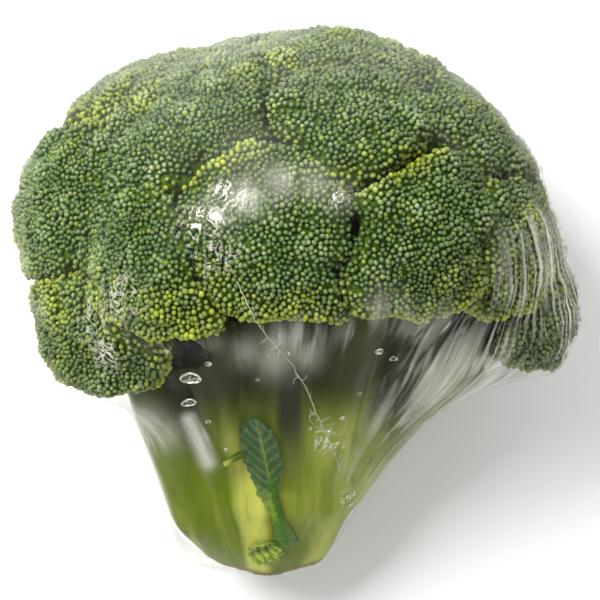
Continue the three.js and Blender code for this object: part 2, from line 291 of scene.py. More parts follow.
def plant_axes():
    points, faces = cad_mesh("stalk")
    corners = points[np.array(faces)]
    normals = np.cross(corners[:, 1] - corners[:, 0], corners[:, 2] - corners[:, 0])
    areas = np.linalg.norm(normals, axis=1) / 2
    keys, group = np.unique(np.round(unit(normals), 2), axis=0, return_inverse=True)
    widest = group.ravel() == np.argmax(np.bincount(group.ravel(), areas))
    up = -unit(normals[widest].sum(axis=0))
    origin = (corners[widest].mean(axis=1) * areas[widest, None]).sum(axis=0) / areas[widest].sum()
    right = np.array([1.0, 0, 0])
    return origin, np.array([right, np.cross(right, up), up])


plant_origin, plant_turn = plant_axes()
lean = math.asin(plant_turn[2, 2])


def to_plant(points):
    """Columns: right, front, up the stalk."""
    return (np.asarray(points) - plant_origin) @ plant_turn.T


def from_plant(points):
    return np.asarray(points) @ plant_turn + plant_origin


# Heads: balls round the top of the stalk, as direction round it, angle down from its top, radius and reach.

HEADS = {
    "front_middle": (-8, 62, 30, 1.0),
    "front_left": (-35, 78, 24, 1.04),
    "front_right": (32, 65, 29, 1.0),
    "left_low": (-62, 118, 28, 1.2),
    "left_edge": (-86, 80, 32, 1.1),
    "right_low": (76, 116, 21, 1.22),
    "right_middle": (64, 83, 26, 0.98),
    "right_high": (84, 61, 31, 0.88),
    "left_high": (-108, 57, 32, 1.0),
    "top_front_left": (-48, 36, 31, 1.0),
    "top_front_right": (27, 36, 30, 1.0),
    "top_middle": (130, 16, 32, 0.92),
    "back_right": (112, 92, 27, 0.95),
    "back_rest_right": (157, 92, 28, 1.0),
    "back_rest_left": (-157, 92, 28, 1.0),
    "back_left": (-126, 94, 27, 1.0),
    "back_high_right": (130, 56, 30, 0.86),
    "back_high_left": (-166, 54, 31, 0.93),
}
NAMES = list(HEADS)
# Some heads are drawn lighter or darker, as painted light and shade for the way they face the lamps, and more
# or less yellow than the rest.
HEAD_PAINTED_LIGHT_AND_RIPENESS = {
    "left_low": (-0.3, 0.6),
    "front_left": (-0.3, 0.7),
    "left_edge": (-0.12, 0.7),
    "front_right": (0.08, 1.0),
    "right_middle": (-0.04, 1.0),
    "right_high": (-0.12, 0.8),
    "top_front_right": (-0.12, 0.8),
    "right_low": (-0.3, 0.3),
}
# The lowest heads end in a bare side towards the stalk: the way that side faces, and how far out it is in mm.
TRIMS = {"left_low": ((0.957, -0.29, 0.0), -29.5), "right_low": ((-1.0, 0.0, 0.0), -55.0)}
CROWN = (154, 144, 54, 104, 9)  # width, depth, rise, height and shift to the right
ROOT_BACK = 3.22  # the stalk's line lies this far in front of its cut face's middle
BED = 1.0 * MM  # nothing but the film is lower


def ball_of(azimuth, down, radius, reach):
    """A head's ball in the world, from its row of the table."""
    turn, tilt = math.radians(azimuth), math.radians(down)
    width, depth, rise, height, shift = CROWN
    out = (
        shift + math.sin(tilt) * math.sin(turn) * (width / 2 - radius) * reach,
        -ROOT_BACK + math.sin(tilt) * math.cos(turn) * (depth / 2 - radius) * reach,
        height + math.cos(tilt) * (rise - 0.8 * radius) * reach,
    )
    return from_plant([[v * MM for v in out]])[0], radius * MM


BALLS = [ball_of(*row) for row in HEADS.values()]
MIDDLES = np.array([middle for middle, _ in BALLS])
RADII = np.array([radius for _, radius in BALLS])
SKIN_BELOW = 1.6 * MM  # the buds' own skin starts this far inside the balls, which swell where they meet


def crown_depth(points, fill):
    """How deep each point lies in the crown, where neighbouring balls flow together."""
    gaps = np.linalg.norm(points[:, None, :] - MIDDLES, axis=2) - RADII + SKIN_BELOW
    least = gaps.min(axis=1)
    return -(least - fill * np.log(np.exp((least[:, None] - gaps) / fill).sum(axis=1)))


def solid_tree(name):
    points, faces = cad_mesh(name)
    return BVHTree.FromPolygons([Vector(p) for p in points], faces)


SOLIDS = [solid_tree("head_" + name) for name in NAMES]


def crown_reach(which, rays, fill):
    """From a head's middle, how far the crown's skin, the border and the plain border are along each ray."""
    middle, radius = BALLS[which]
    skin = np.full(len(rays), 0.4 * radius)
    for _ in range(30):
        skin = skin + crown_depth(middle + rays * skin[:, None], fill)
    others = np.delete(np.arange(len(BALLS)), which)
    apart = MIDDLES[others] - middle
    towards = rays @ apart.T
    # The border between two heads wanders to either side of the plane between their balls.
    places = middle + rays * skin[:, None]
    wander = (8.0 * noise_at(places, 48, 4) + 3.0 * noise_at(places, 130, 8)) * MM
    side = np.where(others > which, 1.0, -1.0) * np.linalg.norm(apart, axis=1)
    planes = ((apart**2).sum(axis=1) + radius**2 - RADII[others] ** 2) / 2
    ahead = np.maximum(towards, 1e-9)
    straight = np.where(towards > 1e-6, planes / ahead, 1.0).min(axis=1)
    walls = np.where(towards > 1e-6, (planes + wander[:, None] * side) / ahead, 1.0)
    wall, nearest = np.maximum(walls.min(axis=1), 0.3 * radius), others[walls.argmin(axis=1)]
    # Where the neighbour's underside leaves the border bare, the head grows on over it.
    for i in np.flatnonzero((wall < skin) & (straight < skin)):
        bare = SOLIDS[nearest[i]].find_nearest(Vector(middle + rays[i] * straight[i]))[3]
        if bare > 2.2 * MM:
            wall[i] += 8 * MM
            straight[i] += 8 * MM
    return skin, wall, straight


def model_bud():
    """One bud: a low dome on a slim foot, as corners and faces round its own middle."""
    deselect()
    bpy.ops.mesh.primitive_uv_sphere_add(segments=6, ring_count=4, radius=1, location=(0, 0, 0))
    bud = bpy.context.object
    bpy.ops.object.mode_set(mode="EDIT")
    for ring, wide, lift in ((-0.707, 0.95, 0.15), (0, 1.0, 0.05), (0.707, 0.98, 0.05), (1, 1, 0.02)):
        bpy.ops.mesh.select_all(action="DESELECT")
        bm = bmesh.from_edit_mesh(bud.data)
        for v in bm.verts:
            v.select = abs(v.co.z - ring) < 0.02
        bm.select_flush_mode()
        bmesh.update_edit_mesh(bud.data)
        bpy.ops.transform.resize(value=(wide, wide, 1), center_override=(0, 0, 0))
        bpy.ops.transform.translate(value=(0, 0, lift))
    bpy.ops.object.mode_set(mode="OBJECT")
    points = coords(bud)
    corners, totals = polygons(bud)
    bpy.data.objects.remove(bud)
    return points, corners, totals


def head_body(name, sizes):
    """A head's dome without its buds: its middle, radius, mesh, and how open each corner is."""
    which = NAMES.index(name)
    middle, radius = BALLS[which]
    deselect()
    bpy.ops.mesh.primitive_ico_sphere_add(subdivisions=5, radius=1, location=(0, 0, 0))
    body = bpy.context.object
    rays = unit(coords(body))
    centre = Vector(middle)
    solid_reach = np.array([SOLIDS[which].ray_cast(centre, Vector(ray))[3] or radius for ray in rays])
    skin, wall, straight = crown_reach(which, rays, sizes.valley_fill)
    under = solid_reach < np.minimum(0.93 * radius, straight) - 1.5 * MM
    is_open = (skin < wall) & ~under
    ragged = 2.2 * MM * noise_at(middle + rays * radius, 170, 2)
    if name in TRIMS:
        facing, limit = np.array(TRIMS[name][0]), TRIMS[name][1] * MM - np.dot(TRIMS[name][0], middle)
        side = np.where(rays @ facing > 1e-3, limit / np.maximum(rays @ facing, 1e-3), 1.0)
        trimmed = side < np.minimum(skin, wall)
        solid_reach = np.where(trimmed, np.maximum(np.minimum(side, solid_reach), 0.25 * radius), solid_reach)
        under |= trimmed
        is_open &= ~trimmed
    reach = np.minimum(np.minimum(skin, wall), np.where(under, solid_reach + ragged, 1.0))
    edges = np.array([edge.vertices[:] for edge in body.data.edges])
    near = np.bincount(edges.ravel(), minlength=len(rays))

    def soften(values, times):
        for _ in range(times):
            total = np.bincount(edges[:, 0], values[edges[:, 1]], len(values))
            total += np.bincount(edges[:, 1], values[edges[:, 0]], len(values))
            values = (values + total / near) / 2
        return values

    reach = np.where(is_open, reach, soften(reach, 5))
    reach = soften(reach, 1)
    openness = soften(is_open.astype(float), 2)
    rim = soften(under.astype(float), 6)

    rng = np.random.default_rng(SEED + which)
    count = int(4 * math.pi * radius**2 / (0.87 * sizes.floret_spacing**2))
    florets = unit(spiral(count) + rng.normal(0, 0.28 * sizes.floret_spacing / radius, (count, 3)))
    angles = np.arccos(np.clip(rays @ florets.T, -1, 1))
    turns = np.sort(angles, axis=1)[:, :2] * radius
    edge = (turns[:, 1] - turns[:, 0]) / 2
    mound = 1 - np.exp(-edge / (1.5 * MM)) + 0.35 * (1 - np.clip(turns[:, 0] / (6 * MM), 0, 1) ** 2)
    lumps = noise_at(middle + rays * radius, 62) + 0.5 * noise_at(middle + rays * radius, 130, 7)
    reach += sizes.floret_rise * (mound - 1) + sizes.lump_rise * lumps
    reach -= sizes.bud_height
    places = middle + rays * reach[:, None]
    floor = BED + sizes.bud_height + 0.4 * MM
    low = places[:, 2] < floor
    places[low] = middle + rays[low] * ((floor - middle[2]) / np.minimum(rays[low, 2], -0.05))[:, None]
    places[:, 2] = np.maximum(places[:, 2], floor)
    move_corners(body, places)
    return {
        "which": which,
        "body": body,
        "open": openness,
        "rim": rim,
        "crease": soften(np.clip(edge / (2.2 * MM), 0, 1), 1),
        "tint": rng.uniform(0, 1, count)[angles.argmin(axis=1)],
        "ripe": rng.uniform(0, 1, count)[angles.argmin(axis=1)],
    }


def part_buds(ways, radius, spacing, rounds):
    """Moves buds that crowd one another apart."""
    for _ in range(rounds):
        tree = KDTree(len(ways))
        for i, way in enumerate(ways):
            tree.insert(way, i)
        tree.balance()
        near = np.array([[hit[1] for hit in tree.find_n(way, 7)] for way in ways])
        apart = ways[:, None, :] - ways[near]
        gap = np.linalg.norm(apart, axis=2, keepdims=True)
        want = 1.04 * spacing / radius
        push = np.where(gap > 1e-9, apart / np.maximum(gap, 1e-9) * np.maximum(want - gap, 0), 0)
        ways = unit(ways + 0.45 * push.sum(axis=1))
    return ways


def place_buds(head, sizes):
    """Where each bud stands: its foot, its way up, its width, its tints, and a share that lightens it away
    from the painted shade of creases.
    """
    which = head["which"]
    rng = np.random.default_rng(SEED * 7 + which)
    body, (middle, radius) = head["body"], BALLS[which]
    count = int(4 * math.pi * radius**2 / (0.87 * sizes.bud_spacing**2))
    ways = unit(spiral(count) + rng.normal(0, 0.4 * sizes.bud_spacing / radius, (count, 3)))
    points = coords(body)
    faces = np.array([face.vertices[:] for face in body.data.polygons])
    skin = BVHTree.FromPolygons([Vector(p) for p in points], faces.tolist())
    centre = Vector(middle)

    def stand(ways):
        hits = [skin.ray_cast(centre, Vector(way)) for way in ways]
        found = np.array([hit[0] is not None for hit in hits])
        hits = [hit for hit in hits if hit[0] is not None]
        face = faces[np.array([hit[2] for hit in hits])]
        return ways[found], np.array([hit[0] for hit in hits]), np.array([hit[1] for hit in hits]), face

    ways, feet, ups, face = stand(ways)
    openness, rim = head["open"][face].mean(axis=1), head["rim"][face].mean(axis=1)
    ways = ways[(openness > 0.34) | ((openness > 0.08) & (rim > 0.15))]
    ways, feet, ups, face = stand(part_buds(ways, radius, sizes.bud_spacing, 3))
    openness = head["open"][face].mean(axis=1)
    rim = head["rim"][face].mean(axis=1)
    crease = head["crease"][face].mean(axis=1)
    ups = unit(0.6 * unit(ups) + 0.4 * ways + rng.normal(0, 0.13, ups.shape))
    size = rng.uniform(0.86, 1.14, len(feet)) * (0.84 + 0.16 * crease)
    # Young yellow buds sit low on a head, towards the stalk, and in a few florets.
    down = -(ways @ plant_turn[2])
    patch = noise_at(feet, 70, 3.0)
    floret = head["ripe"][face[:, 0]]
    low = smooth_step(128, 92, to_plant(feet)[:, 2] / MM)
    low *= smooth_step(85, 100, to_plant(feet)[:, 2] / MM)
    warm = 0.5 * low * np.clip(0.75 + 0.9 * patch, 0, 1.4) + 0.3 * smooth_step(0.8, 0.98, floret)
    warm += 0.25 * smooth_step(0.3, 0.8, down) + 1.5 * rim
    # paler is painted light and shade, head by head; riper is how yellow its buds are.
    paler, riper = HEAD_PAINTED_LIGHT_AND_RIPENESS.get(NAMES[which], (0, 1))
    warm = np.clip(warm * riper + rng.normal(0, 0.13, len(feet)), 0, 1)
    size *= 1 + 0.2 * rim
    tint = 0.25 + paler + 0.5 * head["tint"][face[:, 0]] + 0.2 * noise_at(feet, 180, 5.0)
    tint = np.clip(tint + rng.normal(0, 0.2, len(feet)), 0, 1)
    # The last value is painted shade: it darkens buds in the creases between florets and where a head meets
    # its neighbour.
    return feet, ups, size, tint, warm, crease * smooth_step(0.1, 0.55, openness + rim)


def add_buds(head, bud, sizes):
    """The head with its buds, as one mesh."""
    shape, shape_corners, shape_totals = bud
    feet, ups, size, tint, warm, painted_light_out_of_creases = place_buds(head, sizes)
    rng = np.random.default_rng(SEED * 13 + head["which"])
    turn = rng.uniform(0, 2 * math.pi, len(feet))
    side = unit(np.cross(ups, [0.3, 0.5, 0.81]))
    across = np.cross(ups, side)
    first = side * np.cos(turn)[:, None] + across * np.sin(turn)[:, None]
    second = np.cross(ups, first)
    wide = 0.55 * sizes.bud_spacing * size
    tall = 0.68 * sizes.bud_height * (0.5 + 0.5 * size) * rng.uniform(0.85, 1.15, len(feet))
    oval = rng.uniform(0.86, 1.14, len(feet))
    points = (
        feet[:, None, :]
        + (shape[None, :, 0] * (wide * oval)[:, None])[..., None] * first[:, None, :]
        + (shape[None, :, 1] * (wide / oval)[:, None])[..., None] * second[:, None, :]
        + ((shape[None, :, 2] + 0.55) * tall[:, None])[..., None] * ups[:, None, :]
    )
    points[..., 2] = np.maximum(points[..., 2], BED)
    body_points = coords(head["body"])
    body_corners, body_totals = polygons(head["body"])
    offset = len(body_points) + np.arange(len(feet))[:, None] * len(shape)
    corners = np.concatenate([body_corners, (shape_corners[None, :] + offset).ravel()])
    totals = np.concatenate([body_totals, np.tile(shape_totals, len(feet))])
    piece = mesh_from(
        "buds_" + NAMES[head["which"]], np.concatenate([body_points, points.reshape(-1, 3)]), corners, totals
    )
    along = np.clip((shape[:, 2] + 0.75) / 1.9, 0, 1)
    # Red: height up the bud, scaled down as painted shade in the creases.
    bud_paint = np.stack(
        [
            np.broadcast_to(along[None, :], points.shape[:2]) * (0.45 + 0.55 * painted_light_out_of_creases[:, None]),
            np.broadcast_to(tint[:, None], points.shape[:2]),
            np.broadcast_to(warm[:, None], points.shape[:2]),
        ],
        axis=-1,
    ).reshape(-1, 3)
    body_paint = np.zeros((len(body_points), 3))
    paint(piece, "bud", np.concatenate([body_paint, bud_paint]))
    bpy.data.objects.remove(head["body"])
    return piece


def bud_material(colours):
    """Waxy flower buds, grown. The tips are lighter from the wax's bloom and from a painted highlight, and
    slightly shiny; painted shade darkens each bud towards its foot, between the buds.
    """
    made, tree, output = new_material("waxy_flower_buds")
    painted = add(tree, "ShaderNodeAttribute", attribute_name="bud")
    parts = add(tree, "ShaderNodeSeparateColor", links=[("Color", painted.outputs["Color"])])
    place = add(tree, "ShaderNodeTexCoord")
    # Shades drift over 12 mm, as the heads ripen unevenly.
    drift = add(
        tree, "ShaderNodeTexNoise", {"Scale": 80.0, "Detail": 3.0}, [("Vector", place.outputs["Object"])]
    )
    # Pale tips: partly wax, partly painted highlight, strongest away from creases.
    tip = add(
        tree, "ShaderNodeMapRange", {"From Min": 0.58, "From Max": 1.0}, [("Value", parts.outputs["Red"])]
    )
    blend = add(
        tree,
        "ShaderNodeMath",
        links=[(0, tip.outputs["Result"]), (1, parts.outputs["Green"])],
        operation="MULTIPLY",
    )
    green = add(
        tree,
        "ShaderNodeMix",
        {6: (*colours.bud_deep, 1), 7: (*colours.bud_tip_wax_and_highlight, 1)},
        [(0, blend.outputs[0])],
        data_type="RGBA",
    )
    ripe = add(
        tree,
        "ShaderNodeMath",
        links=[(0, parts.outputs["Blue"]), (1, drift.outputs["Fac"])],
        operation="MULTIPLY",
    )
    ripe = add(tree, "ShaderNodeMath", {1: 1.5}, [(0, ripe.outputs[0])], operation="MULTIPLY", use_clamp=True)
    warm = add(
        tree,
        "ShaderNodeMix",
        {7: (*colours.bud_yellow, 1)},
        [(0, ripe.outputs[0]), (6, green.outputs[2])],
        data_type="RGBA",
    )
    # Painted shade: each bud goes dark towards its foot, where its neighbours shade it.
    deep = add(
        tree, "ShaderNodeMapRange", {"From Min": 0.12, "From Max": 0.62}, [("Value", parts.outputs["Red"])]
    )
    shade = add(
        tree,
        "ShaderNodeMix",
        {6: (*colours.bud_gap_painted_shade, 1)},
        [(0, deep.outputs["Result"]), (7, warm.outputs[2])],
        data_type="RGBA",
    )
    skin = add(
        tree,
        "ShaderNodeBsdfPrincipled",
        {"Roughness": 0.38, "Specular IOR Level": 0.3, "Subsurface Weight": 0.06, "Subsurface Scale": 0.001},
        [("Base Color", shade.outputs[2])],
    )
    tree.links.new(skin.outputs[0], output.inputs["Surface"])
    return made


def pith_material():
    """Matt green stems packed under the buds, grown, drawn dark as painted shade under the buds."""
    made, tree, output = new_material("stems_under_buds")
    place = add(tree, "ShaderNodeTexCoord")
    stems = add(tree, "ShaderNodeTexVoronoi", {"Scale": 800.0}, [("Vector", place.outputs["Object"])])
    shade = add(
        tree,
        "ShaderNodeMix",
        {6: (*linear("4c6614"), 1), 7: (*linear("24360a"), 1)},
        [(0, stems.outputs["Distance"])],
        data_type="RGBA",
    )
    skin = add(
        tree,
        "ShaderNodeBsdfPrincipled",
        {"Roughness": 0.8, "Specular IOR Level": 0.05},
        [("Base Color", shade.outputs[2])],
    )
    tree.links.new(skin.outputs[0], output.inputs["Surface"])
    return made


class BROCCOLI_OT_heads(bpy.types.Operator):
    """Makes the crown's heads, each a dome of small mounds covered with buds"""

    bl_idname = "broccoli.heads"
    bl_label = "Heads"

    def execute(self, context):
        sizes = context.scene.broccoli_sizes
        material = bud_material(context.scene.broccoli_colours)
        pith = pith_material()
        bud = model_bud()
        for name in NAMES:
            head = head_body(name, sizes)
            body_faces = len(head["body"].data.polygons)
            piece = add_buds(head, bud, sizes)
            finish_piece(piece, material, ["head_" + name])
            piece.data.materials.append(pith)
            slots = np.zeros(len(piece.data.polygons), dtype=np.int32)
            slots[:body_faces] = 1
            piece.data.polygons.foreach_set("material_index", slots)
        return {"FINISHED"}


# Stalk and branches: one grown skin.

TWIGS_ON_HEAD = 9


def model_twig():
    """One twig: a slightly waisted rod from (0, 0, 0) to (0, 0, 1), a unit wide."""
    deselect()
    bpy.ops.mesh.primitive_cone_add(vertices=8, radius1=1.25, radius2=1.0, depth=1, location=(0, 0, 0.5))
    twig = bpy.context.object
    bpy.ops.object.transform_apply(location=True)
    bpy.ops.object.mode_set(mode="EDIT")
    bpy.ops.mesh.select_all(action="SELECT")
    bpy.ops.mesh.bisect(plane_co=(0, 0, 0.5), plane_no=(0, 0, 1))
    bpy.ops.transform.resize(value=(0.8, 0.8, 1), center_override=(0, 0, 0.5))
    bpy.ops.object.mode_set(mode="OBJECT")
    points = coords(twig)
    corners, totals = polygons(twig)
    bpy.data.objects.remove(twig)
    return points, corners, totals


def twig_runs():
    """Foot, tip and width of each twig: from the top of each branch to the underside of its head."""
    rng = np.random.default_rng(SEED + 3)
    runs = []
    for solid, (middle, radius) in zip(SOLIDS, BALLS):
        stem = from_plant([to_plant(middle) * (0.35, 0.35, 0.45)])[0]
        growth = unit(middle - stem)
        side = unit(np.cross(growth, [1, 0.2, 0.1]))
        across = np.cross(growth, side)
        for i in range(TWIGS_ON_HEAD):
            turn = 2 * math.pi * (i + rng.uniform(-0.3, 0.3)) / TWIGS_ON_HEAD
            out = side * math.cos(turn) + across * math.sin(turn)
            way = unit(0.8 * out - 0.35 * growth)
            reach = solid.ray_cast(Vector(middle), Vector(way))[3] or radius
            tip = middle + way * (min(reach, 0.86 * radius) - 1.2 * MM)
            foot = middle - growth * rng.uniform(0.85, 1.15) * radius + out * 0.12 * radius
            runs.append((foot, tip, rng.uniform(1.7, 2.6) * MM * radius / (27 * MM)))
    return runs


class BROCCOLI_OT_stalk(bpy.types.Operator):
    """Makes the stalk, its branches and their twigs as one skin"""

    bl_idname = "broccoli.stalk"
    bl_label = "Stalk and branches"

    def execute(self, context):
        sizes = context.scene.broccoli_sizes
        nodes = sorted(name for name in frame["nodes"] if name == "stalk" or name.startswith("branch_"))
        all_points, all_corners, all_totals, count = [], [], [], 0
        for name in nodes:
            points, faces = cad_mesh(name)
            # A little fuller than its solid, so that neighbours grow together.
            middle = points.mean(axis=0)
            wide = np.linalg.norm(points - middle, axis=1).mean()
            points = middle + (points - middle) * (1 + 0.5 * MM / wide)
            all_points.append(points)
            all_corners.append(np.array(faces).ravel() + count)
            all_totals.append(np.full(len(faces), 3))
            count += len(points)
        shape, shape_corners, shape_totals = model_twig()
        for foot, tip, wide in twig_runs():
            run = tip - foot
            side = unit(np.cross(run, [0.2, 0.3, 0.9]))
            across = unit(np.cross(run, side))
            points = foot + shape[:, 2:] * run + wide * (shape[:, :1] * side + shape[:, 1:2] * across)
            all_points.append(points)
            all_corners.append(shape_corners + count)
            all_totals.append(shape_totals)
            count += len(points)
        piece = mesh_from(
            "stalk_and_branches",
            np.concatenate(all_points),
            np.concatenate(all_corners),
            np.concatenate(all_totals),
        )
        select_only(piece)
        bpy.ops.object.mode_set(mode="EDIT")
        bpy.ops.mesh.select_all(action="SELECT")
        bpy.ops.mesh.normals_make_consistent(inside=False)
        bpy.ops.object.mode_set(mode="OBJECT")
        apply_modifier(
            piece,
            "REMESH",
            mode="VOXEL",
            voxel_size=sizes.skin_grain,
            adaptivity=0.0,
            use_smooth_shade=True,
        )
        apply_modifier(piece, "SMOOTH", factor=0.5, iterations=7)
        points = coords(piece)
        # The left flank swells a little where the lowest branch leaves it.
        right, _, up = to_plant(points).T / MM
        flank = 3.4 * MM * smooth_step(-5, -24, right)
        points[:, 0] -= flank * smooth_step(0, 14, up) * smooth_step(70, 45, up)
        points[:, 2] = np.maximum(points[:, 2], BED)
        move_corners(piece, points)
        paint(piece, "flesh", flesh_zones(points))
        finish_piece(piece, flesh_material(context.scene.broccoli_colours), nodes)
        return {"FINISHED"}


def flesh_zones(points):
    """How pale, how dark with painted shade, and how worn each point of the skin is."""
    right, front, up = to_plant(points).T / MM
    turn = np.arctan2(right, front + ROOT_BACK)
    out = np.hypot(right, front + ROOT_BACK)
    # Seven ridges run up the stalk, pale along their crests.
    crest = 0.5 + 0.5 * np.cos(7 * (turn + 0.2) + 0.01 * (up - 40))
    pale = smooth_step(0.45, 0.95, crest) * smooth_step(74, 42, up)
    # Painted shade: the grooves go dark where the branches part, and everything goes dark up under the heads,
    # which shade it.
    dark = smooth_step(0.45, 0.05, crest) * smooth_step(34, 62, up)
    dark = np.maximum(dark, smooth_step(50, 72, up) * 0.9)
    right_side = smooth_step(0.1, 0.4, turn) * smooth_step(1.5, 1.1, turn)
    worn = smooth_step(3.2, 0.8, up) * smooth_step(15, 19, out)
    left_side = smooth_step(-0.62, -0.85, turn) * smooth_step(-1.7, -1.4, turn)
    pale = pale * (1 - 0.72 * right_side) * (1 - 0.7 * left_side) + 0.18 * right_side
    return np.stack([np.clip(pale, 0, 1), np.clip(dark, 0, 1), worn], axis=1)


def flesh_material(colours):
    """Waxy stalk flesh, grown: long fibres run up it, pale along its ridges, green on its flanks, and dark
    with painted shade in its grooves and up under the heads.
    """
    made, tree, output = new_material("waxy_stalk_flesh")
    place = add(tree, "ShaderNodeTexCoord")
    painted = add(tree, "ShaderNodeAttribute", attribute_name="flesh")
    parts = add(tree, "ShaderNodeSeparateColor", links=[("Color", painted.outputs["Color"])])
    plant = add(
        tree,
        "ShaderNodeMapping",
        {"Location": plant_origin, "Rotation": (lean - math.pi / 2, 0, 0)},
        [("Vector", place.outputs["Object"])],
        vector_type="TEXTURE",
    )
    # Fibres: about 2 mm wide and 20 mm long. Bands: about 10 mm wide and 100 mm long.
    long = add(tree, "ShaderNodeMapping", {"Scale": (1, 1, 0.1)}, [("Vector", plant.outputs[0])])
    fibres = add(tree, "ShaderNodeTexNoise", {"Scale": 420.0, "Detail": 4.0}, [("Vector", long.outputs[0])])
    bands = add(tree, "ShaderNodeTexNoise", {"Scale": 95.0, "Detail": 2.0}, [("Vector", long.outputs[0])])
    drift = add(
        tree,
        "ShaderNodeMapRange",
        {"From Min": 0.35, "From Max": 0.65, "To Min": -0.3, "To Max": 0.3},
        [("Value", bands.outputs["Fac"])],
    )
    pale = add(
        tree,
        "ShaderNodeMath",
        links=[(0, parts.outputs["Red"]), (1, drift.outputs[0])],
        operation="ADD",
        use_clamp=True,
    )
    base = add(
        tree,
        "ShaderNodeMix",
        {6: (*colours.flesh_green, 1), 7: (*colours.flesh_pale, 1)},
        [(0, pale.outputs[0])],
        data_type="RGBA",
    )
    streak = add(
        tree,
        "ShaderNodeMapRange",
        {"From Min": 0.5, "From Max": 0.8, "To Max": 0.4},
        [("Value", fibres.outputs["Fac"])],
    )
    # Painted shade from the paint, with darker fibre streaks.
    dark = add(
        tree,
        "ShaderNodeMath",
        links=[(0, parts.outputs["Green"]), (1, streak.outputs[0])],
        operation="MAXIMUM",
    )
    base = add(
        tree,
        "ShaderNodeMix",
        {7: (*colours.flesh_painted_shade_and_leaf_mottle, 1)},
        [(0, dark.outputs[0]), (6, base.outputs[2])],
        data_type="RGBA",
    )
    base = add(
        tree,
        "ShaderNodeMix",
        {7: (*linear("6b5c22"), 1)},
        [(0, parts.outputs["Blue"]), (6, base.outputs[2])],
        data_type="RGBA",
    )
    raised = add(
        tree,
        "ShaderNodeBump",
        {"Strength": 0.4, "Distance": 0.0007},
        [("Height", fibres.outputs["Fac"])],
    )
    skin = add(
        tree,
        "ShaderNodeBsdfPrincipled",
        {"Roughness": 0.4, "Specular IOR Level": 0.1, "Subsurface Weight": 0.1, "Subsurface Scale": 0.003},
        [("Base Color", base.outputs[2]), ("Normal", raised.outputs[0])],
    )
    tree.links.new(skin.outputs[0], output.inputs["Surface"])
    return made


# Leaves.


def leaf_piece(name, rows, columns, surface, place_of):
    """A leaf: a grid shaped by place_of(along, across) on the stalk and painted; its thickness is added
    after.
    """
    deselect()
    bpy.ops.mesh.primitive_grid_add(x_subdivisions=columns, y_subdivisions=rows, size=2, location=(0, 0, 0))
    leaf = bpy.context.object
    leaf.name = leaf.data.name = name
    grid = coords(leaf)
    places, shades = [], []
    for x, y, _ in grid:
        place, shade = place_of((y + 1) / 2, x)
        places.append(place)
        shades.append(shade)
    # Each point rests on the stalk's skin, seen from the front.
    rested = []
    for right, lift, up in places:
        top = Vector(from_plant([[right, 0.06, up]])[0])
        hit = surface.ray_cast(top, Vector(-plant_turn[1]))[0]
        front = to_plant([hit])[0][1] if hit else 0.0
        rested.append([right, front + lift, up])
    move_corners(leaf, from_plant(rested))
    paint(leaf, "leaf", np.array(shades))
    return leaf


def leaf_front_place(along, across):
    """The long leaf: a petiole widening to its foot, then a ruffled blade whose left margin runs down it."""
    stem = 0.85 + 2.9 * (1 - smooth_step(-0.12, 0.42, along))
    top = math.sqrt(max(0.0, 1 - max(0.0, (along - 0.8) / 0.2) ** 2))
    if across < 0:
        teeth = 0.35 * math.sin(along * 88)
        blade = (5.3 * smooth_step(0.16, 0.62, along) + teeth + 0.3 * math.sin(along * 143 + 1)) * top
    else:
        blade = (4.0 * smooth_step(0.44, 0.66, along) + 0.3 * math.sin(along * 95 + 1)) * top * (along > 0.42)
    blade = max(0.0, float(blade))
    half = stem * (1 - 0.75 * smooth_step(0.8, 1.0, along)) + blade
    right = 6.2 - 10.2 * along + 1.4 * along * along + across * half
    leafy = min(1.0, blade / 3)
    ruffle = 0.9 * math.sin(along * 24 + across * 2.5) + 0.4 * math.sin(along * 61)
    ruffle = ruffle * across * across * leafy
    fold = 0.5 * math.sin(along * 13 + 1) * (1 - abs(across)) * leafy
    vein = abs(math.sin((along * 13 - abs(across) * 1.5) * math.pi)) ** 8 * leafy
    lift = 1.0 + 1.3 * abs(across) * leafy + ruffle + fold - 0.3 * vein
    lift += (1 - leafy) * (1.0 - across * across) * 1.1
    margin = smooth_step(0.55, 0.3, along) * smooth_step(0.1, -0.3, across)
    rib = 0.6 * smooth_step(0.12, 0.02, abs(across)) * leafy
    shade = (max(0.35 * vein, rib, 0.8 * margin), 1 - leafy, along)
    return (right * MM, lift * MM, (14.5 + 47 * along) * MM), shade


def leaf_base_place(along, across):
    """The short leaf: broad and crinkled."""
    bulge = 3.6 * math.sin(math.pi * min(1, along * 0.9 + 0.08))
    half = 1.2 + bulge * (1 + 0.25 * math.sin(along * 27 + across))
    right = -1.2 + 1.6 * along + across * half
    crinkle = 1.1 * math.sin(along * 11 + across * 4) * math.cos(across * 6 + along * 5)
    lift = 1.3 + 0.6 * abs(across) + crinkle
    # Painted light and shade: the blade is lighter on its crinkles' crests and darker in their hollows.
    shade = (0.35 + 0.65 * smooth_step(-0.4, 0.9, crinkle), 0.0, along)
    return (right * MM, lift * MM, (7.5 + 9 * along) * MM), shade


